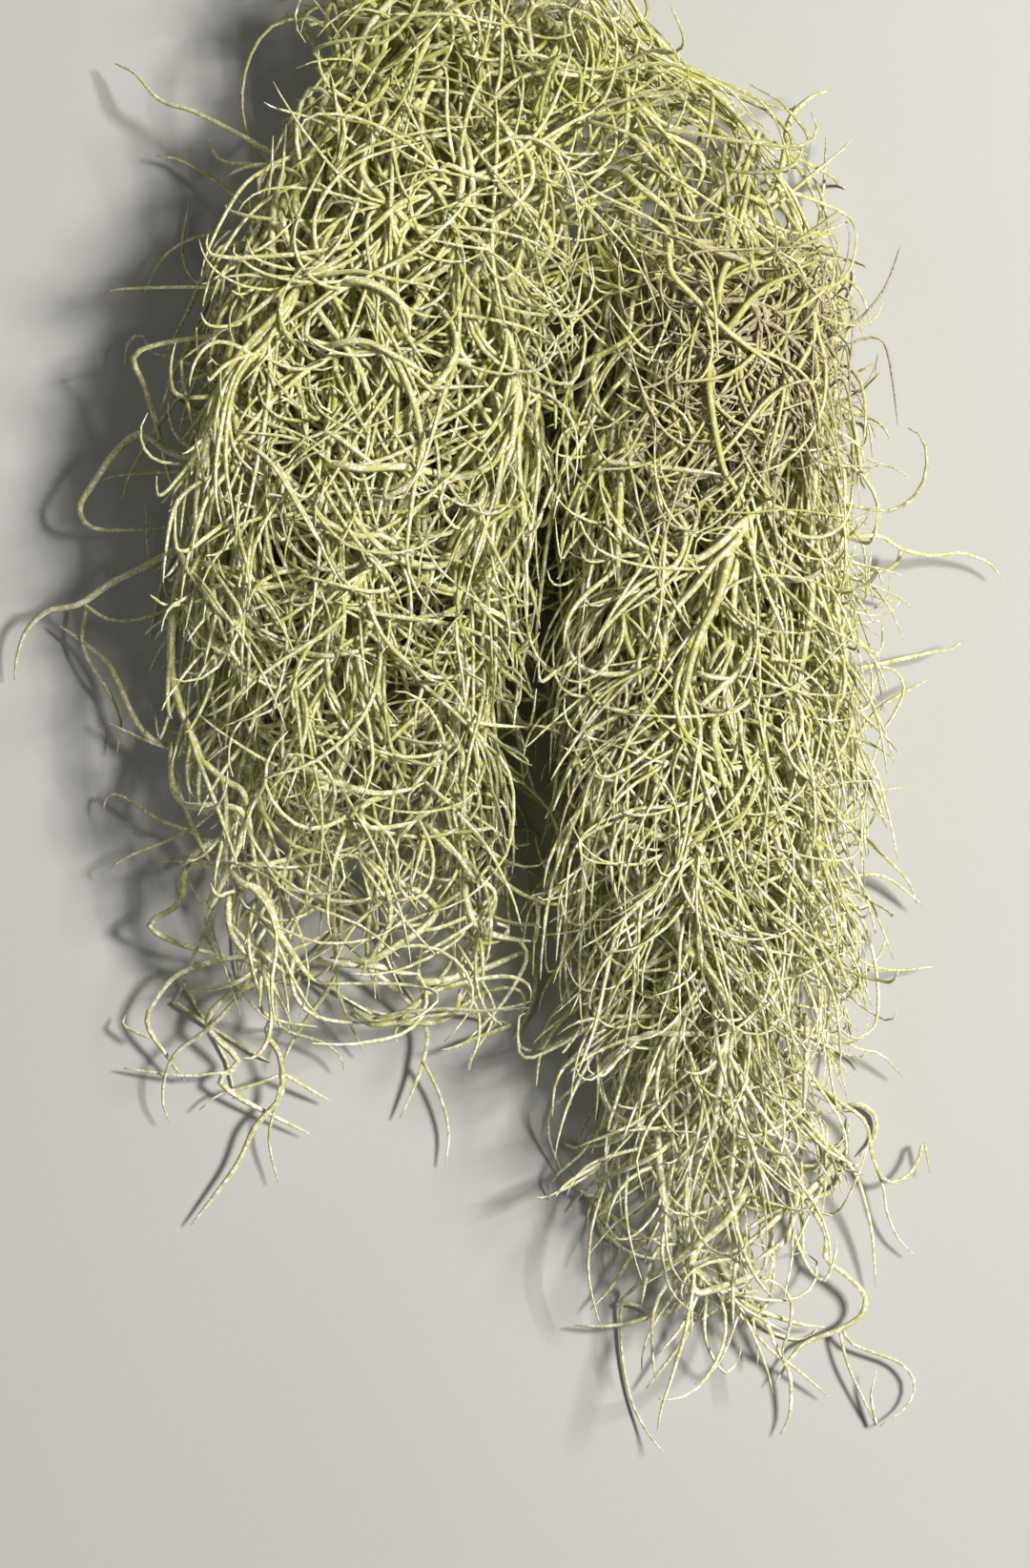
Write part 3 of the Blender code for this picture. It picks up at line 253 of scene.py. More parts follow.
# Stray stems and leaves that make the outline: the tress each grows from, whether it is a stem
# or a leaf, its heights in mm at its root and tip, and its points in pixels of the photograph
STRAYS = [
    ("left_outer_over", "stem", 30, 8, [(302, 176), (247, 144), (203, 120), (168, 106), (141, 76),
     (118, 62)]),
    ("left_outer_over", "leaf", 34, 14, [(343, 167), (305, 178), (264, 177), (232, 170), (217, 144)]),
    ("left_outer_under", "leaf", 12, 6, [(285, 240), (258, 214), (223, 185), (188, 164), (160, 158)]),
    ("left_outer_over", "stem", 40, 47, [(382, 255), (311, 246), (282, 223), (285, 194), (343, 170),
     (367, 147)]),
    ("left_outer_under", "leaf", 14, 7, [(241, 240), (194, 251), (167, 270), (148, 304)]),
    ("left_outer_over", "leaf", 32, 12, [(250, 310), (190, 306), (129, 305), (102, 308)]),
    ("left_outer_under", "stem", 12, 8, [(235, 400), (194, 378), (159, 367), (147, 348), (132, 358),
     (128, 381)]),
    ("left_outer_over", "leaf", 20, 9, [(255, 300), (241, 262), (217, 284), (197, 323), (173, 367)]),
    ("left_outer_over", "stem", 28, 9, [(235, 471), (202, 482), (178, 475), (149, 457), (121, 478),
     (100, 506), (84, 531), (92, 551), (121, 555), (182, 551)]),
    ("left_outer_under", "leaf", 16, 10, [(204, 494), (162, 495), (121, 498), (106, 502)]),
    ("left_outer_over", "stem", 34, 14, [(238, 360), (150, 375), (156, 410), (168, 453), (182, 510),
     (202, 543)]),
    ("left_outer_over", "stem", 24, 4, [(207, 570), (145, 600), (115, 614), (87, 632), (69, 637), (46, 641),
     (25, 660), (14, 687), (10, 712)]),
    ("left_outer_over", "leaf", 16, 24, [(87, 633), (115, 650), (147, 650), (179, 639), (207, 621)]),
    ("left_outer_under", "leaf", 8, 5, [(88, 634), (83, 669), (92, 696), (110, 724), (123, 756),
     (119, 788)]),
    ("left_outer_under", "stem", 14, 5, [(207, 790), (161, 777), (138, 751), (126, 724), (110, 694),
     (85, 673), (56, 653)]),
    ("left_outer_over", "leaf", 22, 7, [(240, 800), (200, 790), (165, 781), (138, 770), (107, 756)]),
    ("left_outer_under", "leaf", 13, 5, [(225, 885), (197, 871), (170, 862), (147, 848), (126, 835),
     (109, 834), (104, 854)]),
    ("left_outer_over", "leaf", 22, 7, [(240, 840), (207, 866), (174, 882), (142, 894), (117, 908),
     (114, 919)]),
    ("left_outer_over", "leaf", 20, 9, [(276, 903), (230, 905), (197, 903), (161, 904)]),
    ("left_outer_over", "stem", 20, 8, [(230, 880), (197, 905), (189, 946), (156, 969), (184, 989),
     (228, 1002), (264, 1012)]),
    ("left_outer_over", "stem", 14, 4, [(240, 1005), (189, 1020), (161, 1050), (152, 1076), (174, 1112),
     (190, 1136)]),
    ("left_outer_over", "leaf", 9, 5, [(154, 1089), (140, 1084), (126, 1076), (128, 1066)]),
    ("left_outer_over", "leaf", 15, 5, [(263, 1022), (243, 1053), (215, 1081), (184, 1104), (171, 1130),
     (168, 1158), (175, 1181)]),
    ("left_outer_over", "stem", 12, 4, [(270, 1030), (228, 1053), (217, 1079), (248, 1114), (228, 1132),
     (240, 1148), (274, 1168), (324, 1193)]),
    ("left_outer_over", "leaf", 9, 4, [(236, 1126), (189, 1130), (126, 1123)]),
    ("left_outer_over", "stem", 12, 3, [(279, 1084), (291, 1104), (295, 1130), (291, 1155), (266, 1183),
     (248, 1221), (222, 1257), (197, 1289)]),
    ("left_outer_over", "leaf", 9, 4, [(293, 1140), (284, 1173), (280, 1201), (289, 1244)]),
    ("left_outer_over", "leaf", 9, 4, [(294, 1128), (263, 1140), (228, 1150), (206, 1167)]),
    ("left_outer_over", "leaf", 9, 4, [(294, 1126), (319, 1142), (345, 1158)]),
    ("left_outer_over", "leaf", 14, 5, [(288, 1045), (294, 1078), (337, 1094), (355, 1109), (359, 1124)]),
    ("left_middle_under", "stem", 9, 3, [(375, 1010), (415, 1040), (446, 1078), (442, 1118), (430, 1150),
     (418, 1176)]),
    ("left_middle_under", "leaf", 6, 3, [(443, 1115), (460, 1150), (470, 1190), (466, 1226)]),
    ("crown_left", "leaf", 22, 12, [(534, 66), (536, 38), (537, 10), (533, -24), (536, -50)]),
    ("crown_left", "leaf", 20, 12, [(380, 40), (352, 70), (320, 30), (330, -10), (352, -34)]),
    ("crown_left", "stem", 26, 12, [(420, 70), (400, 40), (430, 5), (470, -20), (500, -30)]),
    ("crown_left", "leaf", 24, 16, [(500, 60), (492, 20), (508, -8), (540, -12), (566, 0), (586, 25),
     (580, 54), (572, 86)]),
    ("crown_bridge", "leaf", 32, 14, [(600, 140), (595, 90), (607, 57), (602, 24), (608, -8), (620, -36)]),
    ("crown_bridge", "stem", 30, 14, [(655, 150), (654, 105), (641, 48), (630, 0), (622, -28)]),
    ("crown_bridge", "leaf", 58, 59, [(572, 162), (552, 142), (530, 146), (521, 172), (530, 203),
     (552, 212), (574, 206)]),
    ("crown_bridge", "leaf", 57, 44, [(603, 153), (630, 130), (643, 86), (639, 48), (620, 21), (599, 17)]),
    ("right_outer_over", "stem", 34, 16, [(804, 221), (818, 175), (825, 133), (848, 106), (875, 94)]),
    ("right_outer_over", "stem", 30, 12, [(685, 97), (701, 94), (743, 113), (781, 138), (818, 152),
     (848, 161)]),
    ("right_outer_over", "leaf", 32, 12, [(804, 230), (838, 198), (880, 161), (892, 146)]),
    ("right_outer_under", "leaf", 14, 6, [(838, 300), (850, 278), (859, 239), (866, 189), (869, 136)]),
    ("right_outer_over", "leaf", 30, 10, [(790, 215), (815, 205), (861, 216), (891, 228), (898, 239)]),
    ("right_outer_over", "leaf", 36, 9, [(799, 244), (827, 250), (861, 244), (900, 226)]),
    ("right_outer_over", "stem", 34, 12, [(805, 320), (829, 290), (845, 276), (866, 280), (877, 308),
     (880, 347), (871, 386), (859, 418)]),
    ("right_outer_over", "leaf", 30, 10, [(824, 419), (845, 425), (871, 430), (897, 423)]),
    ("right_outer_under", "leaf", 12, 7, [(835, 474), (855, 478), (869, 472), (907, 474)]),
    ("right_outer_over", "leaf", 28, 13, [(830, 545), (873, 515), (887, 510), (903, 501), (921, 487)]),
    ("right_outer_over", "stem", 28, 5, [(845, 585), (870, 568), (893, 565), (913, 563), (926, 565),
     (947, 577), (976, 582), (1008, 579), (1026, 583), (1042, 590), (1054, 603)]),
    ("right_outer_over", "leaf", 10, 26, [(915, 564), (922, 548), (921, 533), (916, 518), (903, 500),
     (885, 487), (860, 481), (835, 490)]),
    ("right_outer_over", "leaf", 9, 5, [(947, 576), (945, 586), (933, 596), (908, 601), (901, 607),
     (906, 616), (921, 624), (945, 630)]),
    ("right_outer_under", "leaf", 11, 8, [(851, 582), (865, 586), (886, 584), (906, 578)]),
    ("right_outer_under", "leaf", 12, 8, [(850, 652), (868, 649), (898, 652), (926, 650)]),
    ("right_outer_over", "stem", 28, 8, [(850, 715), (884, 704), (911, 699), (949, 690), (981, 683),
     (997, 681), (1013, 671)]),
    ("right_outer_over", "leaf", 20, 14, [(914, 698), (938, 704), (947, 723), (938, 747), (924, 771),
     (911, 814)]),
    ("right_outer_under", "leaf", 14, 8, [(862, 800), (879, 790), (900, 771), (922, 744), (949, 726),
     (978, 711)]),
    ("right_outer_over", "stem", 30, 9, [(862, 700), (882, 742), (900, 801), (916, 833), (932, 868)]),
    ("right_outer_over", "leaf", 11, 8, [(914, 830), (935, 827), (955, 827)]),
    ("right_outer_over", "leaf", 26, 5, [(862, 835), (887, 860), (914, 886), (935, 905), (954, 924),
     (965, 948)]),
    ("right_outer_under", "leaf", 13, 6, [(858, 940), (882, 924), (914, 917), (938, 924), (973, 952)]),
    ("right_outer_over", "leaf", 24, 6, [(850, 970), (876, 988), (908, 1010), (940, 1018), (983, 1015)]),
    ("right_outer_under", "leaf", 12, 6, [(848, 1058), (874, 1052), (908, 1023), (927, 999), (934, 975)]),
    ("right_outer_over", "leaf", 22, 5, [(840, 1075), (875, 1086), (901, 1100), (926, 1107), (950, 1132)]),
    ("right_outer_under", "stem", 12, 5, [(860, 1140), (881, 1156), (909, 1178), (917, 1215), (931, 1241),
     (954, 1236), (967, 1217), (972, 1198), (979, 1234)]),
    ("right_outer_under", "leaf", 8, 4, [(917, 1216), (929, 1248), (933, 1274), (945, 1302), (962, 1320)]),
    ("right_outer_over", "leaf", 20, 4, [(850, 1180), (892, 1223), (906, 1254), (917, 1299), (922, 1355)]),
    ("right_outer_over", "stem", 11, 4, [(864, 1288), (867, 1321), (887, 1338), (909, 1361), (906, 1383),
     (884, 1398), (842, 1417), (814, 1459)]),
    ("right_outer_over", "leaf", 5, 4, [(886, 1397), (895, 1413), (918, 1423), (948, 1435), (963, 1456),
     (954, 1481), (926, 1502)]),
    ("right_outer_over", "leaf", 5, 3, [(883, 1398), (892, 1436), (909, 1473), (922, 1501)]),
    ("right_outer_over", "leaf", 3, 7, [(923, 1501), (917, 1473), (918, 1459), (922, 1442)]),
    ("right_front", "stem", 14, 6, [(780, 1366), (808, 1380), (842, 1392), (868, 1396)]),
    ("right_front", "leaf", 12, 4, [(770, 1372), (808, 1417), (836, 1439), (873, 1471)]),
    ("right_front", "stem", 12, 3, [(778, 1340), (800, 1377), (816, 1417), (830, 1445), (831, 1487),
     (821, 1511)]),
    ("right_front", "leaf", 14, 7, [(742, 1350), (739, 1395), (746, 1421), (762, 1443), (776, 1428),
     (779, 1418)]),
    ("right_front", "leaf", 14, 5, [(748, 1340), (735, 1376), (713, 1415), (679, 1461)]),
    ("right_front", "leaf", 13, 5, [(738, 1350), (706, 1375), (648, 1393), (603, 1395)]),
    ("right_middle_under", "leaf", 10, 4, [(725, 1250), (669, 1312), (643, 1352), (620, 1378)]),
    ("right_inner_under", "stem", 8, 4, [(690, 1180), (660, 1250), (613, 1255), (598, 1230)]),
]

# Long strands that lie on the front, as pixels of the photograph. Stems and dry stems bear
# leaves at their nodes, and leaves bear none.
FRONT_STRANDS = [
    ("stem", [(397, 118), (404, 125), (409, 144), (397, 169), (387, 192), (386, 206), (397, 222),
     (416, 240), (436, 258), (455, 264), (471, 256), (483, 235), (487, 210), (486, 185), (478, 165),
     (452, 167), (418, 175), (379, 175)]),
    ("stem", [(473, 128), (487, 160), (495, 196), (498, 238), (496, 284)]),
    ("stem", [(482, 224), (430, 235), (397, 263), (370, 288), (347, 302), (322, 313), (292, 333),
     (269, 350), (223, 371), (198, 388)]),
    ("leaf", [(322, 313), (349, 309), (384, 307), (418, 315), (452, 320), (480, 327)]),
    ("stem", [(361, 318), (390, 318), (418, 332), (432, 350), (434, 371)]),
    ("stem", [(338, 385), (361, 379), (391, 378), (418, 391), (452, 408), (480, 421), (494, 438)]),
    ("leaf", [(430, 352), (416, 366), (409, 389), (404, 419)]),
    ("stem", [(531, 284), (505, 297), (489, 318), (480, 343), (482, 373), (494, 398), (521, 428)]),
    ("leaf", [(505, 300), (500, 318), (498, 348), (512, 378), (533, 391), (558, 376)]),
    ("stem", [(324, 314), (301, 348), (278, 371), (255, 398), (239, 431), (228, 470)]),
    ("stem", [(318, 322), (298, 356), (272, 384), (248, 416), (234, 452)]),
    ("leaf", [(280, 385), (292, 371), (310, 367), (317, 378), (308, 392), (290, 401), (269, 405)]),
    ("stem", [(232, 470), (260, 476), (277, 489), (287, 510), (292, 547), (299, 581), (313, 614),
     (328, 639)]),
    ("stem", [(265, 447), (284, 462), (289, 489), (325, 527), (347, 556), (381, 572), (403, 571),
     (434, 586), (459, 592), (478, 585)]),
    ("leaf", [(335, 467), (357, 471), (381, 488), (415, 513)]),
    ("stem", [(337, 498), (364, 501), (388, 505), (422, 503), (459, 507), (490, 511), (517, 493),
     (527, 471)]),
    ("stem", [(403, 525), (434, 521), (471, 515), (500, 508), (519, 498), (531, 474), (543, 447),
     (546, 420)]),
    ("stem", [(190, 566), (202, 595), (219, 619), (241, 646), (265, 665), (291, 676), (318, 687),
     (350, 692), (384, 687), (417, 682)]),
    ("stem", [(204, 593), (236, 601), (265, 610), (284, 619), (311, 621), (335, 629), (367, 646),
     (400, 662)]),
    ("leaf", [(219, 624), (253, 619), (277, 618), (306, 622)]),
    ("leaf", [(279, 564), (296, 573), (325, 572), (350, 568), (371, 574)]),
    ("stem", [(449, 663), (471, 648), (495, 641), (519, 647), (539, 661), (552, 684)]),
    ("stem", [(454, 614), (466, 624), (485, 625), (507, 622), (524, 632), (530, 640)]),
    ("stem", [(510, 520), (497, 556), (490, 581), (471, 597), (451, 601), (422, 595), (398, 578),
     (372, 545), (350, 505)]),
    ("leaf", [(471, 668), (485, 690), (500, 714), (512, 740)]),
    ("leaf", [(558, 646), (551, 682), (543, 724), (538, 768)]),
    ("stem", [(403, 590), (388, 610), (371, 631), (357, 653), (350, 690), (352, 730)]),
    ("stem", [(197, 600), (190, 640), (186, 682), (187, 711), (199, 750), (211, 776), (221, 798),
     (243, 818), (262, 830), (268, 861), (272, 895), (277, 934)]),
    ("stem", [(181, 780), (182, 815), (190, 837), (207, 845), (233, 844), (255, 847), (264, 856),
     (259, 881), (248, 905), (231, 939), (211, 985), (195, 1019), (180, 1053)]),
    ("stem", [(180, 902), (211, 907), (253, 905), (284, 904), (316, 896), (350, 881), (388, 868),
     (422, 864), (447, 854), (478, 834)]),
    ("stem", [(277, 767), (301, 786), (330, 808), (364, 822), (398, 831), (430, 828), (449, 820)]),
    ("stem", [(408, 834), (388, 842), (384, 854), (393, 866), (417, 865), (442, 859)]),
    ("leaf", [(434, 861), (447, 869), (444, 885), (422, 919), (393, 953), (350, 982)]),
    ("stem", [(445, 862), (459, 871), (480, 893), (497, 917), (517, 929), (518, 951), (502, 973)]),
    ("leaf", [(296, 934), (316, 931), (350, 941), (381, 942), (396, 936)]),
    ("stem", [(245, 910), (260, 924), (279, 931), (289, 948), (296, 973), (311, 997), (325, 1018),
     (337, 1028)]),
    ("stem", [(247, 930), (245, 958), (250, 980), (265, 999), (279, 1009)]),
    ("leaf", [(279, 1009), (253, 1026), (221, 1036), (190, 1042)]),
    ("leaf", [(279, 1009), (287, 1026), (301, 1053), (308, 1077)]),
    ("leaf", [(279, 1009), (277, 1043), (279, 1057), (301, 1068), (335, 1074)]),
    ("leaf", [(279, 1008), (302, 996), (330, 985), (352, 970)]),
    ("stem", [(335, 1005), (369, 1007), (398, 1009), (422, 1016), (440, 1017)]),
    ("stem", [(350, 1004), (391, 1002), (422, 985), (447, 968), (459, 951), (444, 934), (422, 922),
     (416, 905), (422, 876)]),
    ("stem", [(439, 1016), (442, 1026), (471, 1024), (507, 1014), (539, 1002), (560, 996)]),
    ("stem", [(369, 1055), (391, 1065), (413, 1062), (437, 1050), (449, 1038), (466, 1031), (490, 1018)]),
    ("stem", [(369, 1062), (391, 1072), (422, 1070), (459, 1072), (478, 1060), (483, 1038), (485, 1062),
     (502, 1070), (536, 1077)]),
    ("stem", [(495, 762), (512, 786), (522, 813), (522, 842), (518, 866)]),
    ("leaf", [(471, 742), (493, 757), (519, 762), (553, 764)]),
    ("stem", [(488, 910), (490, 941), (502, 970), (531, 982), (560, 986)]),
    ("stem", [(595, 187), (616, 194), (643, 197), (668, 218), (689, 235), (706, 246), (721, 246),
     (725, 235)]),
    ("stem", [(650, 90), (654, 115), (654, 143), (650, 168), (633, 193)]),
    ("stem", [(660, 155), (681, 159), (706, 168), (725, 178), (732, 195), (725, 216)]),
    ("stem", [(658, 160), (670, 178), (683, 197), (698, 210)]),
    ("stem", [(744, 349), (746, 322), (753, 300), (765, 286), (782, 282), (801, 288), (818, 298),
     (831, 303)]),
    ("stem", [(685, 252), (694, 269), (695, 290), (698, 309), (715, 328), (732, 345), (748, 362),
     (765, 376), (786, 391), (812, 408)]),
    ("stem", [(734, 362), (753, 364), (765, 351), (780, 332), (801, 317), (814, 320), (818, 334),
     (814, 362), (803, 383), (790, 389)]),
    ("leaf", [(639, 208), (650, 225), (668, 237)]),
    ("leaf", [(580, 315), (605, 313), (633, 315), (660, 326)]),
    ("leaf", [(742, 117), (740, 145), (734, 178)]),
    ("stem", [(841, 324), (858, 338), (877, 351)]),
    ("leaf", [(860, 345), (845, 370), (826, 410)]),
    ("stem", [(580, 495), (612, 495), (645, 498), (678, 502), (710, 506), (747, 510)]),
    ("stem", [(735, 385), (735, 420), (738, 448), (743, 476), (751, 507), (764, 528), (771, 554)]),
    ("leaf", [(580, 526), (597, 544), (615, 563), (636, 591)]),
    ("leaf", [(580, 600), (606, 596), (645, 592), (684, 591)]),
    ("stem", [(580, 617), (608, 629), (641, 632), (673, 635), (701, 643), (719, 658)]),
    ("stem", [(645, 533), (617, 550), (593, 572), (575, 589)]),
    ("dry", [(654, 550), (667, 548), (693, 539), (714, 544), (723, 557), (714, 572), (701, 587),
     (688, 600)]),
    ("stem", [(810, 522), (788, 544), (766, 561), (747, 580), (723, 596), (701, 603), (675, 606)]),
    ("stem", [(797, 524), (775, 559), (760, 580), (740, 600), (723, 622), (704, 643), (693, 661),
     (691, 680), (684, 700), (667, 713), (636, 730), (606, 747)]),
    ("stem", [(760, 583), (751, 611), (743, 637), (730, 663), (719, 691), (712, 723), (706, 758)]),
    ("leaf", [(747, 637), (764, 656), (782, 669), (801, 674)]),
    ("leaf", [(734, 708), (743, 689), (753, 679), (759, 683), (753, 700), (742, 722)]),
    ("leaf", [(721, 710), (740, 715), (760, 716)]),
    ("stem", [(777, 689), (766, 708), (749, 723), (727, 743), (706, 762)]),
    ("stem", [(825, 420), (836, 442), (842, 468), (844, 502), (842, 550)]),
    ("stem", [(821, 444), (844, 466), (857, 487), (866, 511), (883, 528)]),
    ("stem", [(842, 580), (855, 602), (862, 626), (859, 646)]),
    ("stem", [(836, 598), (841, 628), (836, 665), (831, 700), (825, 734)]),
    ("stem", [(821, 643), (844, 645), (864, 654), (873, 676), (875, 700), (881, 724), (881, 770),
     (879, 805), (873, 848)]),
    ("dry", [(866, 522), (862, 550), (844, 580)]),
    ("leaf", [(656, 505), (673, 526), (691, 548), (704, 557), (710, 550)]),
    ("stem", [(648, 505), (645, 550), (644, 593), (645, 626)]),
    ("leaf", [(784, 626), (810, 646)]),
    ("stem", [(654, 740), (667, 764), (684, 779), (710, 796), (736, 815), (764, 825), (792, 830)]),
    ("stem", [(645, 762), (667, 794), (684, 820), (701, 846)]),
    ("stem", [(747, 740), (740, 768), (745, 798), (753, 825), (771, 848), (772, 861), (758, 870)]),
    ("stem", [(825, 744), (816, 772), (818, 805), (825, 831), (838, 853), (870, 861)]),
    ("leaf", [(736, 810), (766, 805), (790, 801), (812, 790)]),
    ("stem", [(730, 853), (710, 868), (688, 876), (656, 866), (623, 881), (593, 883)]),
    ("stem", [(738, 853), (727, 874), (710, 892), (700, 901), (732, 900), (769, 894)]),
    ("stem", [(740, 861), (771, 887), (797, 907), (814, 922)]),
    ("stem", [(801, 827), (803, 861), (808, 892), (818, 920), (836, 952), (853, 979)]),
    ("leaf", [(615, 827), (632, 833), (647, 846), (649, 864)]),
    ("stem", [(701, 935), (704, 968), (714, 989), (736, 1009), (753, 1033), (775, 1061)]),
    ("stem", [(641, 1033), (671, 1011), (701, 994), (732, 976), (760, 969), (788, 972)]),
    ("leaf", [(636, 1078), (636, 1050), (643, 1039), (662, 1033)]),
    ("stem", [(727, 978), (730, 1000), (747, 1028), (758, 1052), (762, 1078)]),
    ("stem", [(825, 952), (821, 983), (810, 1009), (795, 1019)]),
    ("dry", [(699, 903), (688, 922), (675, 940)]),
    ("stem", [(737, 1078), (701, 1077), (674, 1078), (648, 1096), (631, 1116), (630, 1142), (643, 1164),
     (672, 1176), (701, 1179), (725, 1180)]),
    ("leaf", [(592, 1203), (604, 1208), (628, 1203), (653, 1186), (672, 1164)]),
    ("leaf", [(706, 1188), (684, 1203), (660, 1217), (633, 1234), (611, 1256), (597, 1276)]),
    ("leaf", [(611, 1254), (636, 1276), (665, 1293), (691, 1300), (716, 1300)]),
    ("stem", [(641, 1254), (632, 1278), (633, 1297), (650, 1307), (672, 1302), (701, 1293)]),
    ("stem", [(781, 1242), (759, 1271), (735, 1293), (706, 1317), (677, 1344), (648, 1375)]),
    ("stem", [(735, 1293), (723, 1317), (723, 1339), (730, 1351), (754, 1344), (786, 1334), (800, 1324)]),
    ("stem", [(888, 1205), (871, 1225), (842, 1249), (810, 1276), (786, 1295), (762, 1310)]),
    ("stem", [(834, 1242), (830, 1278), (822, 1295), (805, 1307), (788, 1317)]),
    ("leaf", [(832, 1244), (847, 1254), (866, 1256), (880, 1249), (890, 1225), (893, 1196), (895, 1176)]),
    ("stem", [(754, 1060), (754, 1096), (747, 1140), (745, 1167), (737, 1191), (721, 1205)]),
    ("leaf", [(750, 1157), (764, 1176), (786, 1184), (805, 1181)]),
    ("stem", [(687, 1181), (689, 1217), (694, 1254), (701, 1288)]),
    ("stem", [(839, 1060), (838, 1121), (837, 1157)]),
    ("leaf", [(893, 1164), (907, 1162), (922, 1174), (922, 1196), (905, 1217)]),
]


def at(px, py, z_mm):
    """The point over a pixel of the photograph, at a height in millimetres."""
    return ((px - ORIGIN_PX[0]) * PIXEL, (ORIGIN_PX[1] - py) * PIXEL, z_mm * MM)


def unit(vectors):
    """Vectors over their last axis, made one long."""
    return vectors / np.maximum(np.linalg.norm(vectors, axis=-1, keepdims=True), 1e-9)


def smooth_line(points, count):
    """count points evenly along a smooth curve through points, a cubic between each two."""
    points = np.asarray(points, float)
    padded = np.vstack([points[0] * 2 - points[1], points, points[-1] * 2 - points[-2]])
    t = np.linspace(0, 1, LINE_SAMPLES, endpoint=False)[:, None]
    spans = []
    for a, b, c, d in zip(padded, padded[1:], padded[2:], padded[3:]):
        cubic = (3 * b - a - 3 * c + d) * t**3
        spans.append(0.5 * (2 * b + (c - a) * t + (2 * a - 5 * b + 4 * c - d) * t**2 + cubic))
    fine = np.vstack([*spans, points[-1:]])
    walked = np.concatenate([[0], np.cumsum(np.linalg.norm(np.diff(fine, axis=0), axis=1))])
    goals = np.linspace(0, walked[-1], count)
    return np.stack([np.interp(goals, walked, fine[:, k]) for k in range(3)], axis=1)


def ring_count(points, step):
    """How many rings a strand through points has, about a step apart."""
    return max(FEWEST_RINGS, round(np.linalg.norm(np.diff(points, axis=0), axis=1).sum() / step))


def below(values, limit, softness):
    """Values bent softly so that they stay below limit."""
    return limit - softness * np.logaddexp(0, (limit - values) / softness)


def keep_inside(points, lobe, spread):
    """Bends strands softly back at their lobe's edges, moved out by spread for each strand."""
    y_px, left_px, right_px = np.transpose(EDGES[lobe])
    here_px = ORIGIN_PX[1] - points[..., 1] / PIXEL
    left = (np.interp(here_px, y_px, left_px) - ORIGIN_PX[0]) * PIXEL
    right = (np.interp(here_px, y_px, right_px) - ORIGIN_PX[0]) * PIXEL
    x = below(points[..., 0], right + spread, EDGE_SOFTNESS)
    points[..., 0] = -below(-x, spread - left, EDGE_SOFTNESS)
    top = (ORIGIN_PX[1] - HIGHEST_PX[lobe]) * PIXEL
    bottom = (ORIGIN_PX[1] - LOWEST_PX[lobe]) * PIXEL
    y = below(points[..., 1], top + spread * TOP_SPREAD, EDGE_SOFTNESS)
    points[..., 1] = -below(-y, spread * FOOT_SPREAD - bottom, FOOT_SOFTNESS)
    return points


def lay_on_floor(points, radius, top=TOP_OF_BUNCH):
    """Bends strands softly so that they stay above the floor and under the bunch's top."""
    z = -below(-points[..., 2], -(radius + FLOOR_CLEARANCE), FLOOR_SOFTNESS)
    points[..., 2] = below(z, top, TOP_SOFTNESS)
    return points


class Tress:
    """The strands of one piece, and the envelope that its stems keep to."""

    def __init__(self, name, line, half_width, half_height):
        self.lobe = name.split("_")[0]
        self.middle = smooth_line([at(*p) for p in line], MIDDLE_POINTS)
        self.along = unit(np.gradient(self.middle, axis=0))
        self.across = unit(np.cross(self.along, UP))
        self.above = np.cross(self.across, self.along)
        self.half_width = half_width * MM
        self.half_height = half_height * MM
        self.strands = []  # (points, radii, tints), each for many strands alike

    def add(self, points, radii, green, dry):
        """points is strands by rings by 3, radii is strands by rings, green and dry are one a strand."""
        same = np.ones(radii.shape)
        down = np.clip(0.5 - points[..., 1] / SCURF_LENGTH, 0, 1)
        scurf = SCURF_ALONG * np.linspace(0, 1, radii.shape[1]) + (1 - SCURF_ALONG) * down
        tints = np.stack([green[:, None] * same, dry[:, None] * same, scurf], -1)
        self.strands.append((points, radii, tints))


def start_stems(tress, length, rng):
    """(places, headings) of stems at their starts, and their lock's offsets across and up."""
    count = len(length)
    spacing = np.linalg.norm(tress.middle[1] - tress.middle[0])
    latest = np.clip(1 - STEM_ROOM * length / (spacing * (MIDDLE_POINTS - 1)), *START_LIMITS)
    share = rng.beta(EARLY_STARTS, LATE_STARTS[tress.lobe], count)
    start = (latest * (MIDDLE_POINTS - 1) * share).astype(int)
    lock = rng.integers(0, LOCKS, count)
    lock_turn = lock * math.pi * (3 - math.sqrt(5)) + rng.uniform(0, math.tau)
    lock_out = np.sqrt((lock + 0.5) / LOCKS) * (1 - LOCK_SHARE)
    lock_side = (np.cos(lock_turn) * lock_out * tress.half_width)[:, None]
    lock_lift = (np.sin(lock_turn) * lock_out * tress.half_height)[:, None]
    angle = rng.uniform(0, math.tau, count)
    out = np.sqrt(rng.uniform(0, 1, count)) * LOCK_SHARE
    side = lock_side + (np.cos(angle) * out * tress.half_width)[:, None]
    lift = lock_lift + (np.sin(angle) * out * tress.half_height)[:, None]
    place = tress.middle[start] + side * tress.across[start] + lift * tress.above[start]
    heading = unit(tress.along[start] + rng.normal(0, HEADING_SPREAD, (count, 3)))
    return place, heading, lock_side, lock_lift


def pull_to_lock(tress, place, near, lock_side, lock_lift):
    """The turn of stems back into their lock, the stronger the farther out of it they are."""
    off = place - tress.middle[near]
    sideways = ((off * tress.across[near]).sum(-1, keepdims=True) - lock_side) / tress.half_width
    upwards = ((off * tress.above[near]).sum(-1, keepdims=True) - lock_lift) / tress.half_height
    out = np.sqrt(sideways**2 + upwards**2)
    back = -unit(tress.across[near] * sideways + tress.above[near] * upwards)
    return back * np.maximum(out - LOCK_SHARE, 0) * LOCK_PULL


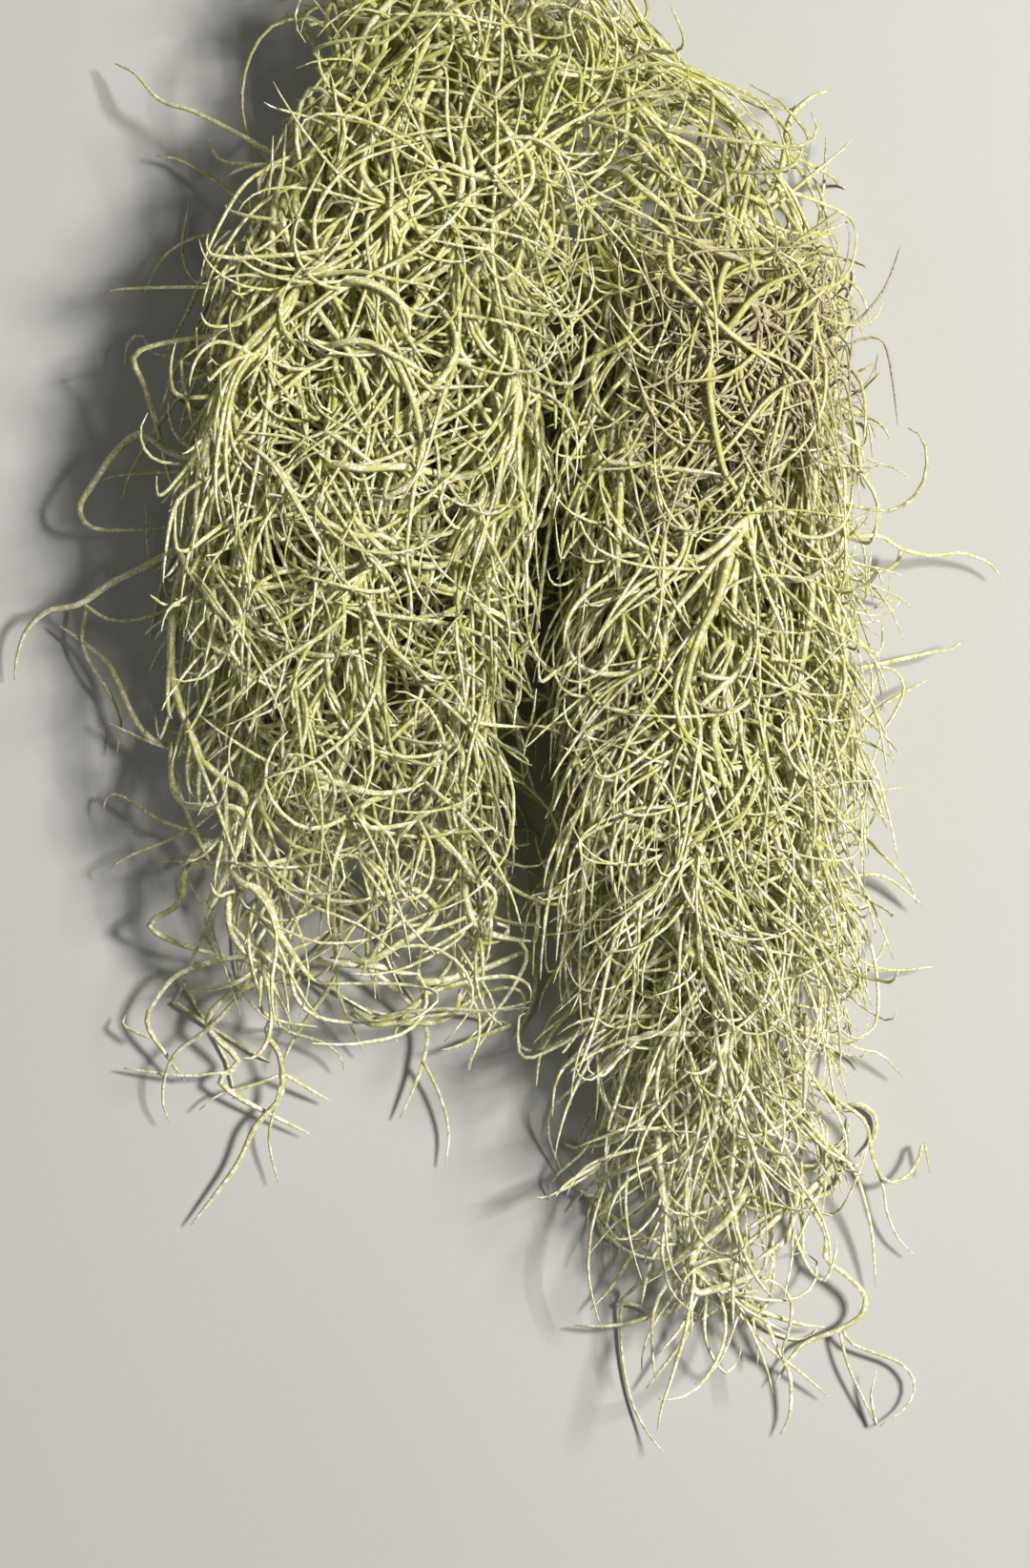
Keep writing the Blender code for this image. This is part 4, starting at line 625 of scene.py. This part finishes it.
def grow_stems(tress, count, sway, follow, rng):
    """(points, headings, nodes) of stems that sway down their lock, kinking at their nodes."""
    length = rng.uniform(*STEM_LENGTH, count)
    place, heading, lock_side, lock_lift = start_stems(tress, length, rng)
    axis = unit(rng.normal(0, AXIS_SPREAD, (count, 3)) + UP)
    swing = rng.uniform(0, math.tau, (count, 1))
    swing_step = math.tau * (length / STEM_STEPS / rng.uniform(*SWAY_LENGTH, count))[:, None]
    rate = sway * rng.uniform(*SWAY_SPREAD, (count, 1))
    step = (length / STEM_STEPS)[:, None]
    to_node = rng.integers(*NODE_STEPS, count)
    places, headings, nodes = [place], [heading], [np.zeros(count, bool)]
    for i in range(STEM_STEPS):
        near = np.linalg.norm(place[:, None] - tress.middle[None], axis=-1).argmin(1)
        inward = pull_to_lock(tress, place, near, lock_side, lock_lift)
        axis = unit(axis + rng.normal(0, AXIS_DRIFT, (count, 3)))
        curl = rate * np.cos(swing + swing_step * i) * (1 + (i / STEM_STEPS) ** 2)
        turn = np.cross(axis, heading) * curl + (tress.along[near] - heading) * follow + inward
        heading = unit(heading + turn * step)
        to_node -= 1
        at_node = to_node == 0
        kink = np.cross(heading, unit(rng.normal(0, 1, (count, 3)))) * rng.uniform(*KINK, (count, 1))
        heading = np.where(at_node[:, None], unit(heading + kink), heading)
        to_node = np.where(at_node, rng.integers(*NODE_STEPS, count), to_node)
        place = place + heading * step
        places.append(place)
        headings.append(heading)
        nodes.append(at_node)
    return np.stack(places, 1), np.stack(headings, 1), np.stack(nodes, 1)


def grow_leaves(roots, headings, sides, droop, rng):
    """Points of thin leaves that leave roots at a slant and curl away from their stem."""
    each = (len(roots), 1)
    angle = rng.uniform(*LEAF_SLANT, each)
    heading = unit(headings * np.cos(angle) + sides * np.sin(angle))
    side = unit(sides - heading * (sides * heading).sum(-1, keepdims=True))
    step = rng.uniform(*LEAF_LENGTH, each) / (LEAF_RINGS - 1)
    bend = rng.uniform(*LEAF_BEND, each) * rng.choice(LEAF_WAYS, each)
    more = rng.uniform(*END_BEND, each)
    hooked = rng.uniform(0, 1, each) < HOOKED
    more = np.where(hooked, np.sign(bend) * rng.uniform(*HOOK_BEND, each), more)
    twist = rng.normal(0, LEAF_TWIST, each)
    points = [roots]
    for i in range(LEAF_RINGS - 1):
        share = (i + 0.5) / (LEAF_RINGS - 1)
        turn = (bend + more * share**2 + rng.normal(0, WOBBLE, each)) * step
        turned = unit(heading * np.cos(turn) + side * np.sin(turn) + DOWN * droop * step)
        side = unit(side - turned * (side * turned).sum(-1, keepdims=True))
        side = unit(side * np.cos(twist * step) + np.cross(turned, side) * np.sin(twist * step))
        heading = turned
        points.append(points[-1] + heading * step)
    return np.stack(points, 1)


def hold_roots(leaves, roots):
    """Leaves moved so that each starts at its root, less and less towards its tip."""
    return leaves + (roots - leaves[:, 0])[:, None] * np.linspace(1, 0, leaves.shape[1])[:, None]


def tapered(taper, count, rings, rng):
    """Radii of strands that narrow slowly and then run out to a fine tip."""
    radius, spread, inner_power, outer_power = taper
    share = np.linspace(0, 1, rings)[None]
    base = radius * rng.uniform(*spread, (count, 1))
    return TIP_R + (base - TIP_R) * (1 - share**inner_power) ** outer_power


def fill_tress(tress, count, sway, follow, dry, rng):
    """Grows a tress's stems, then one or two leaves from each of their nodes and two at each tip."""
    stems, headings, nodes = grow_stems(tress, count, sway, follow, rng)
    greens = rng.beta(*STEM_GREEN, count)
    dries = np.where(rng.uniform(0, 1, count) < dry, rng.uniform(*DRY_SPREAD, count), 0.0)
    stem, step = np.nonzero(nodes)
    second = rng.uniform(0, 1, len(stem)) < SECOND_LEAVES
    owner = np.concatenate([stem, stem[second], np.arange(count), np.arange(count)])
    ring = np.concatenate([step, step[second], np.full(2 * count, STEM_STEPS)])
    leaf_count = len(owner)
    heading = headings[owner, ring]
    side = unit(np.cross(heading, unit(rng.normal(0, 1, (leaf_count, 3)))) * FLATTENED)
    droop = follow * rng.uniform(LEAST_DROOP, MOST_DROOP[tress.lobe], (leaf_count, 1))
    spread = rng.normal(0, EDGE_SPREAD, (count, 1))
    roots = stems[owner, ring]
    stems = lay_on_floor(keep_inside(stems, tress.lobe, spread), STEM_R)
    leaves = grow_leaves(roots, heading, side, droop, rng)
    leaf_spread = spread[owner] + np.abs(rng.normal(0, LEAF_SPREAD, (leaf_count, 1)))
    leaves = lay_on_floor(keep_inside(leaves, tress.lobe, leaf_spread), LEAF_R)
    leaves = hold_roots(leaves, stems[owner, ring])
    finer = FINER[tress.lobe]
    tress.add(stems, finer * tapered(STEM_TAPER, count, STEM_STEPS + 1, rng), greens, dries)
    leaf_greens = greens[owner] * LEAF_GREEN + rng.uniform(*LEAF_GREEN_SPREAD, leaf_count)
    leaf_greens = np.clip(leaf_greens, 0, 1)
    leaf_dries = np.where(rng.uniform(0, 1, leaf_count) < DRY_LEAVES, DRY_TINT, dries[owner])
    radii = finer * tapered(LEAF_TAPER, leaf_count, LEAF_RINGS, rng)
    tress.add(leaves, radii * (1 - DRY_THINNER * leaf_dries[:, None]), leaf_greens, leaf_dries)


def add_strays(tresses, rng):
    """The listed strands, each stem with its root carried into the middle of its tress."""
    for tress_name, kind, root_z, tip_z, pixels in STRAYS:
        tress = tresses[tress_name]
        heights = np.linspace(root_z, tip_z, len(pixels))
        points = np.array([at(x, y, z) for (x, y), z in zip(pixels, heights)])
        near = tress.middle[np.linalg.norm(tress.middle[:, :2] - points[0, :2], axis=1).argmin()]
        if kind == "stem":
            points = np.vstack([near, points])
        rings = ring_count(points, STRAY_STEP)
        points = lay_on_floor(smooth_line(points, rings), LEAF_R)
        radii = tapered(STEM_TAPER if kind == "stem" else LEAF_TAPER, 1, rings, rng)
        tress.add(points[None], radii, rng.uniform(*STRAY_GREEN, 1), np.zeros(1))


def front_height(facing, points):
    """The height of the bunch's front over each point."""
    heights = []
    for tress in facing:
        gaps = np.linalg.norm(points[:, None, :2] - tress.middle[None, :, :2], axis=-1)
        share = np.minimum(gaps.min(1) / (FRONT_REACH * tress.half_width), 1)
        rise = tress.half_height * (2 * np.sqrt(1 - share**2) - 1)
        heights.append(tress.middle[gaps.argmin(1), 2] * (1 - share**4) + rise)
    return np.max(heights, axis=0)


def front_line(facing, pixels, rng):
    """Points of a strand over its pixels, lifted off the front, with its root and tip dipping."""
    flat = np.array([at(x, y, 0) for x, y in pixels])
    rings = ring_count(flat, FRONT_STEP)
    points = smooth_line(flat, rings)
    share = np.linspace(0, 1, rings)
    height = np.interp(share, share[::FRONT_SKIP], front_height(facing, points)[::FRONT_SKIP])
    dip = ROOT_DIP * np.clip(1 - share / ROOT_SHARE, 0, 1) ** 2 + TIP_DIP * share**3
    points[:, 2] = height + FRONT_LIFT * rng.uniform(*FRONT_LIFT_SPREAD) - dip
    return points


def add_front_leaves(tress, points, green, dry, rng):
    """Leaves at the nodes of a front strand, on one side and the other by turns."""
    last = len(points) - 1
    nodes = np.arange(rng.integers(*FRONT_FIRST_NODE), last, rng.integers(*FRONT_NODE_STEPS))
    nodes = np.concatenate([nodes, [last]])
    count = len(nodes)
    along = unit(np.gradient(points, axis=0))[nodes]
    turns = np.where(np.arange(count) % 2, 1.0, -1.0)[:, None]
    sides = unit(np.cross(along, UP) * turns + rng.normal(0, FRONT_SIDE_SPREAD, (count, 3)))
    leaves = grow_leaves(points[nodes], along, sides, rng.uniform(*FRONT_DROOP, (count, 1)), rng)
    spread = np.abs(rng.normal(0, LEAF_SPREAD, (count, 1)))
    leaves = hold_roots(keep_inside(leaves, tress.lobe, spread), points[nodes])
    leaves = lay_on_floor(leaves, LEAF_R, TOP_OF_FRONT)
    radii = tapered(LEAF_TAPER, count, LEAF_RINGS, rng)
    tress.add(leaves, radii, np.repeat(green, count), np.repeat(dry, count))


def add_front_strands(tresses, rng):
    """The listed strands on the front, each in the nearest tress that faces the camera."""
    facing = [tress for name, tress in tresses.items() if not name.endswith("_under")]
    for kind, pixels in FRONT_STRANDS:
        points = front_line(facing, pixels, rng)
        gaps = [np.linalg.norm(points[:, None] - tress.middle[None], axis=-1) for tress in facing]
        tress = facing[int(np.argmin([gap.min(1).mean() for gap in gaps]))]
        points = lay_on_floor(points, STEM_R, TOP_OF_FRONT)
        green = rng.uniform(*FRONT_GREEN, 1)
        dry = np.array([DRY_TINT if kind == "dry" else 0.0])
        taper = LEAF_TAPER if kind == "leaf" else STEM_TAPER
        tress.add(points[None], FRONT_THICKER * tapered(taper, 1, len(points), rng), green, dry)
        if kind != "leaf":
            add_front_leaves(tress, points, green, dry, rng)


def tube_rings(points, radii):
    """Corner places of square tubes along strands, as strands by rings by SIDES by 3."""
    along = unit(np.gradient(points, axis=1))
    across = unit(np.cross(along[:, 0], unit(along[:, 0] + np.array([0.3, 0.5, 0.8]))))
    angles = np.arange(SIDES) * math.tau / SIDES
    rings = []
    for i in range(points.shape[1]):
        across = unit(across - along[:, i] * (across * along[:, i]).sum(-1, keepdims=True))
        other = np.cross(along[:, i], across)
        circle = across[:, None] * np.cos(angles)[:, None] + other[:, None] * np.sin(angles)[:, None]
        rings.append(points[:, i, None] + circle * radii[:, i, None, None])
    return np.stack(rings, 1)


def tube_faces(count, rings, first):
    """Quads of the tubes' sides and of their two ends, numbering vertices from first."""
    ring, side = np.meshgrid(np.arange(rings - 1), np.arange(SIDES), indexing="ij")
    low = ring * SIDES + side
    beside = ring * SIDES + (side + 1) % SIDES
    walls = np.stack([low, beside, beside + SIDES, low + SIDES], -1).reshape(-1, SIDES)
    ends = np.array([np.arange(SIDES)[::-1], np.arange(SIDES) + (rings - 1) * SIDES])
    faces = np.vstack([walls, ends])
    return (faces[None] + (np.arange(count) * rings * SIDES)[:, None, None] + first).reshape(-1, SIDES)


def atlas_places(count, rings, first_cell, columns):
    """Map places of the corners of tube_faces, with each tube in its own cell of a square atlas."""
    ring, side = np.meshgrid(np.arange(rings - 1), np.arange(SIDES), indexing="ij")
    u = np.stack([side, side + 1, side + 1, side], -1) / SIDES
    v = np.stack([ring, ring, ring + 1, ring + 1], -1) / (rings - 1)
    walls = np.stack([u, ATLAS_END + v * (1 - 2 * ATLAS_END)], -1).reshape(-1, SIDES, 2)
    left, right = END_SIDES
    low_end = np.array([[(left, 0), (right, 0), (right, END_HEIGHT), (left, END_HEIGHT)]])
    inside = np.vstack([walls, low_end, low_end + (0, 1 - END_HEIGHT)])
    inside = ATLAS_MARGIN + inside * (1 - 2 * ATLAS_MARGIN)
    cell = first_cell + np.arange(count)
    corner = np.stack([cell % columns, cell // columns], -1)
    return ((inside[None] + corner[:, None, None]) / columns).reshape(-1, 2)


def mesh_of(name, vertices, faces):
    """A mesh of faces that have SIDES corners each."""
    mesh = bpy.data.meshes.new(name)
    mesh.vertices.add(len(vertices))
    mesh.vertices.foreach_set("co", vertices.astype(np.float32).ravel())
    mesh.loops.add(faces.size)
    mesh.loops.foreach_set("vertex_index", faces.astype(np.int32).ravel())
    mesh.polygons.add(len(faces))
    mesh.polygons.foreach_set("loop_start", np.arange(0, faces.size, SIDES, dtype=np.int32))
    mesh.update(calc_edges=True)
    return mesh


def strands_object(name, strands):
    """One mesh of every strand, with its tints as a colour attribute and a map for the bake."""
    vertices, faces, colours, places, first, cell = [], [], [], [], 0, 0
    columns = math.ceil(math.sqrt(sum(len(points) for points, radii, tints in strands)))
    for points, radii, tints in strands:
        count, rings = radii.shape
        vertices.append(tube_rings(points, radii).reshape(-1, 3))
        faces.append(tube_faces(count, rings, first))
        colours.append(np.repeat(tints.reshape(-1, 3), SIDES, axis=0))
        places.append(atlas_places(count, rings, cell, columns))
        first += count * rings * SIDES
        cell += count
    mesh = mesh_of(name, np.vstack(vertices), np.vstack(faces))
    tint = mesh.color_attributes.new(name="tint", type="FLOAT_COLOR", domain="POINT")
    colours = np.column_stack([np.vstack(colours), np.ones(first)])
    tint.data.foreach_set("color", colours.astype(np.float32).ravel())
    bake_map = mesh.uv_layers.new(name="OFBake")
    bake_map.data.foreach_set("uv", np.vstack(places).astype(np.float32).ravel())
    mesh.shade_smooth()
    made = bpy.data.objects.new(name, mesh)
    bpy.context.scene.collection.objects.link(made)
    return made


class Nodes:
    """A short way to write a material's nodes. An input takes a value or another node's output."""

    def __init__(self, name):
        self.material = bpy.data.materials.new(name)
        self.material.use_nodes = True
        self.tree = self.material.node_tree
        self.shader = self.tree.nodes["Principled BSDF"]

    def fill(self, node, inputs):
        for key, value in inputs.items():
            if isinstance(value, bpy.types.NodeSocket):
                self.tree.links.new(value, node.inputs[key])
            else:
                node.inputs[key].default_value = value

    def new(self, kind, inputs, **settings):
        node = self.tree.nodes.new(kind)
        for key, value in settings.items():
            setattr(node, key, value)
        self.fill(node, inputs)
        return node.outputs

    def noise(self, scale, detail, roughness):
        place = self.new("ShaderNodeTexCoord", {})["Object"]
        inputs = {"Vector": place, "Scale": scale, "Detail": detail, "Roughness": roughness}
        return self.new("ShaderNodeTexNoise", inputs)["Fac"]

    def remap(self, value, low, high, to_low=0.0, to_high=1.0):
        inputs = {"Value": value, "From Min": low, "From Max": high, "To Min": to_low, "To Max": to_high}
        return self.new("ShaderNodeMapRange", inputs)["Result"]

    def math(self, operation, a, b):
        return self.new("ShaderNodeMath", {0: a, 1: b}, operation=operation)["Value"]

    def mix(self, share, a, b):
        inputs = {"Factor": share, "A": a, "B": b}
        return self.new("ShaderNodeMix", inputs, data_type="RGBA")["Result"]


GREEN = (0.37, 0.39, 0.045, 1)
OLIVE = (0.57, 0.55, 0.17, 1)
SILVER = (0.96, 0.955, 0.91, 1)
DRY_DARK = (0.17, 0.13, 0.085, 1)
DRY_PALE = (0.62, 0.54, 0.38, 1)
MOSS_FINISH = {
    "Specular IOR Level": 0.25, "Sheen Weight": 0.5, "Sheen Roughness": 0.45,
    "Sheen Tint": (0.93, 0.95, 0.86, 1),
}
BUMP = 0.55
BUMP_DEPTH = 0.12 * MM
FLOOR_DARK = (0.46, 0.46, 0.455, 1)
FLOOR_PALE = (0.49, 0.49, 0.485, 1)
# Noises as (features a metre, detail, roughness), and the values that bound their edges
PATCHES = (620, 3, 0.6)
PATCH_EDGES = (0.42, 0.58)
SCALES = (1350, 3, 0.75)
SCALE_EDGES = (0.46, 0.54)
DEAD_EDGES = (0.35, 0.65)
ROUGH_EDGES = (0.3, 0.7)
ROUGHNESS = (0.72, 0.95)
FLOOR_PATCHES = (6, 3, 0.5)
# How much scurf covers a strand, at the least and at the most of what each is named after
SCALE_COVER = (0.0, 0.95)
SILVERY_COVER = (-0.2, 0.52)
PATCH_COVER = (0.12, 1.15)
GREEN_COVER = (1.0, 0.4)
SCURF_SHARE = {"moss": 0.95, "dry_moss": 0.5}


def moss_material(name, scurf):
    """Green strands under a silvery scurf of fine scales, dead ones brown. scurf is its share."""
    tree = Nodes(name)
    tint = tree.new("ShaderNodeAttribute", {}, attribute_name="tint")["Vector"]
    green, dry, silvery = tree.new("ShaderNodeSeparateXYZ", {"Vector": tint})
    patches = tree.remap(tree.noise(*PATCHES), *PATCH_EDGES)
    scales = tree.noise(*SCALES)
    living = tree.mix(green, OLIVE, GREEN)
    cover = tree.remap(scales, *SCALE_EDGES, *SCALE_COVER)
    cover = tree.math("ADD", cover, tree.remap(silvery, 0.0, 1.0, *SILVERY_COVER))
    low, high = PATCH_COVER
    cover = tree.math("MULTIPLY", cover, tree.remap(patches, 0.0, 1.0, scurf * low, scurf * high))
    cover = tree.math("MULTIPLY", cover, tree.remap(green, 0.0, 1.0, *GREEN_COVER))
    living = tree.mix(cover, living, SILVER)
    dead = tree.mix(tree.remap(scales, *DEAD_EDGES), DRY_DARK, DRY_PALE)
    bump = {"Strength": BUMP, "Distance": BUMP_DEPTH, "Height": scales}
    tree.fill(tree.shader, {
        "Base Color": tree.mix(dry, living, dead),
        "Roughness": tree.remap(scales, *ROUGH_EDGES, *ROUGHNESS),
        "Normal": tree.new("ShaderNodeBump", bump)["Normal"],
        **MOSS_FINISH,
    })
    return tree.material


def build_bunch():
    rng = np.random.default_rng(SEED)
    tresses = {}
    for name, (line, half_width, half_height, count, sway, follow, dry) in TRESSES.items():
        tresses[name] = Tress(name, line, half_width, half_height)
        fill_tress(tresses[name], count, sway, follow, dry, rng)
    add_strays(tresses, rng)
    add_front_strands(tresses, rng)
    materials = {slot: moss_material(slot + "_strands", share) for slot, share in SCURF_SHARE.items()}
    for name, tress in tresses.items():
        piece = strands_object("moss_" + name, tress.strands)
        slot = "dry_moss" if tress.lobe == "dry" else "moss"
        piece.data.materials.append(materials[slot])
        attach(piece, "root")
        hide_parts(name)


def build_floor():
    bpy.ops.mesh.primitive_plane_add(size=FLOOR_SIZE, location=(0, 0, 0))
    floor = bpy.context.object
    floor.name = "floor"
    tree = Nodes("pale_floor")
    colour = tree.mix(tree.noise(*FLOOR_PATCHES), FLOOR_DARK, FLOOR_PALE)
    tree.fill(tree.shader, {"Base Color": colour, "Roughness": 0.9})
    floor.data.materials.append(tree.material)


def add_area(name, place, size, watts, colour):
    """A square light that faces the bunch."""
    light = bpy.data.lights.new(name, "AREA")
    light.energy = watts
    light.size = size
    light.color = colour
    lamp = bpy.data.objects.new(name, light)
    lamp.location = place
    lamp.rotation_euler = (Vector(LIT_PLACE) - Vector(place)).to_track_quat("-Z", "Y").to_euler()
    bpy.context.scene.collection.objects.link(lamp)


def light_scene():
    bpy.context.scene.view_settings.view_transform = "Standard"
    world = bpy.data.worlds.new("studio")
    bpy.context.scene.world = world
    world.use_nodes = True
    sky = world.node_tree.nodes["Background"]
    sky.inputs["Color"].default_value = (1.0, 1.0, 1.0, 1)
    sky.inputs["Strength"].default_value = SKY_STRENGTH
    for name, (place, size, watts, colour) in LIGHTS.items():
        add_area(name, place, size, watts, colour)


def add_camera():
    """Looks straight down, framed as the photograph, whose edges fit at the strays' height."""
    data = bpy.data.cameras.new("camera")
    data.sensor_width = SENSOR
    data.lens = LENS
    data.clip_start = 0.01
    data.clip_end = 20
    camera = bpy.data.objects.new("camera", data)
    x, y = at(*PHOTO_CENTRE_PX, 0)[:2]
    camera.location = (x, y, STRAY_HEIGHT + PHOTO_HEIGHT_PX * PIXEL * LENS / SENSOR)
    bpy.context.scene.collection.objects.link(camera)
    bpy.context.scene.camera = camera


build_bunch()
build_floor()
light_scene()
add_camera()
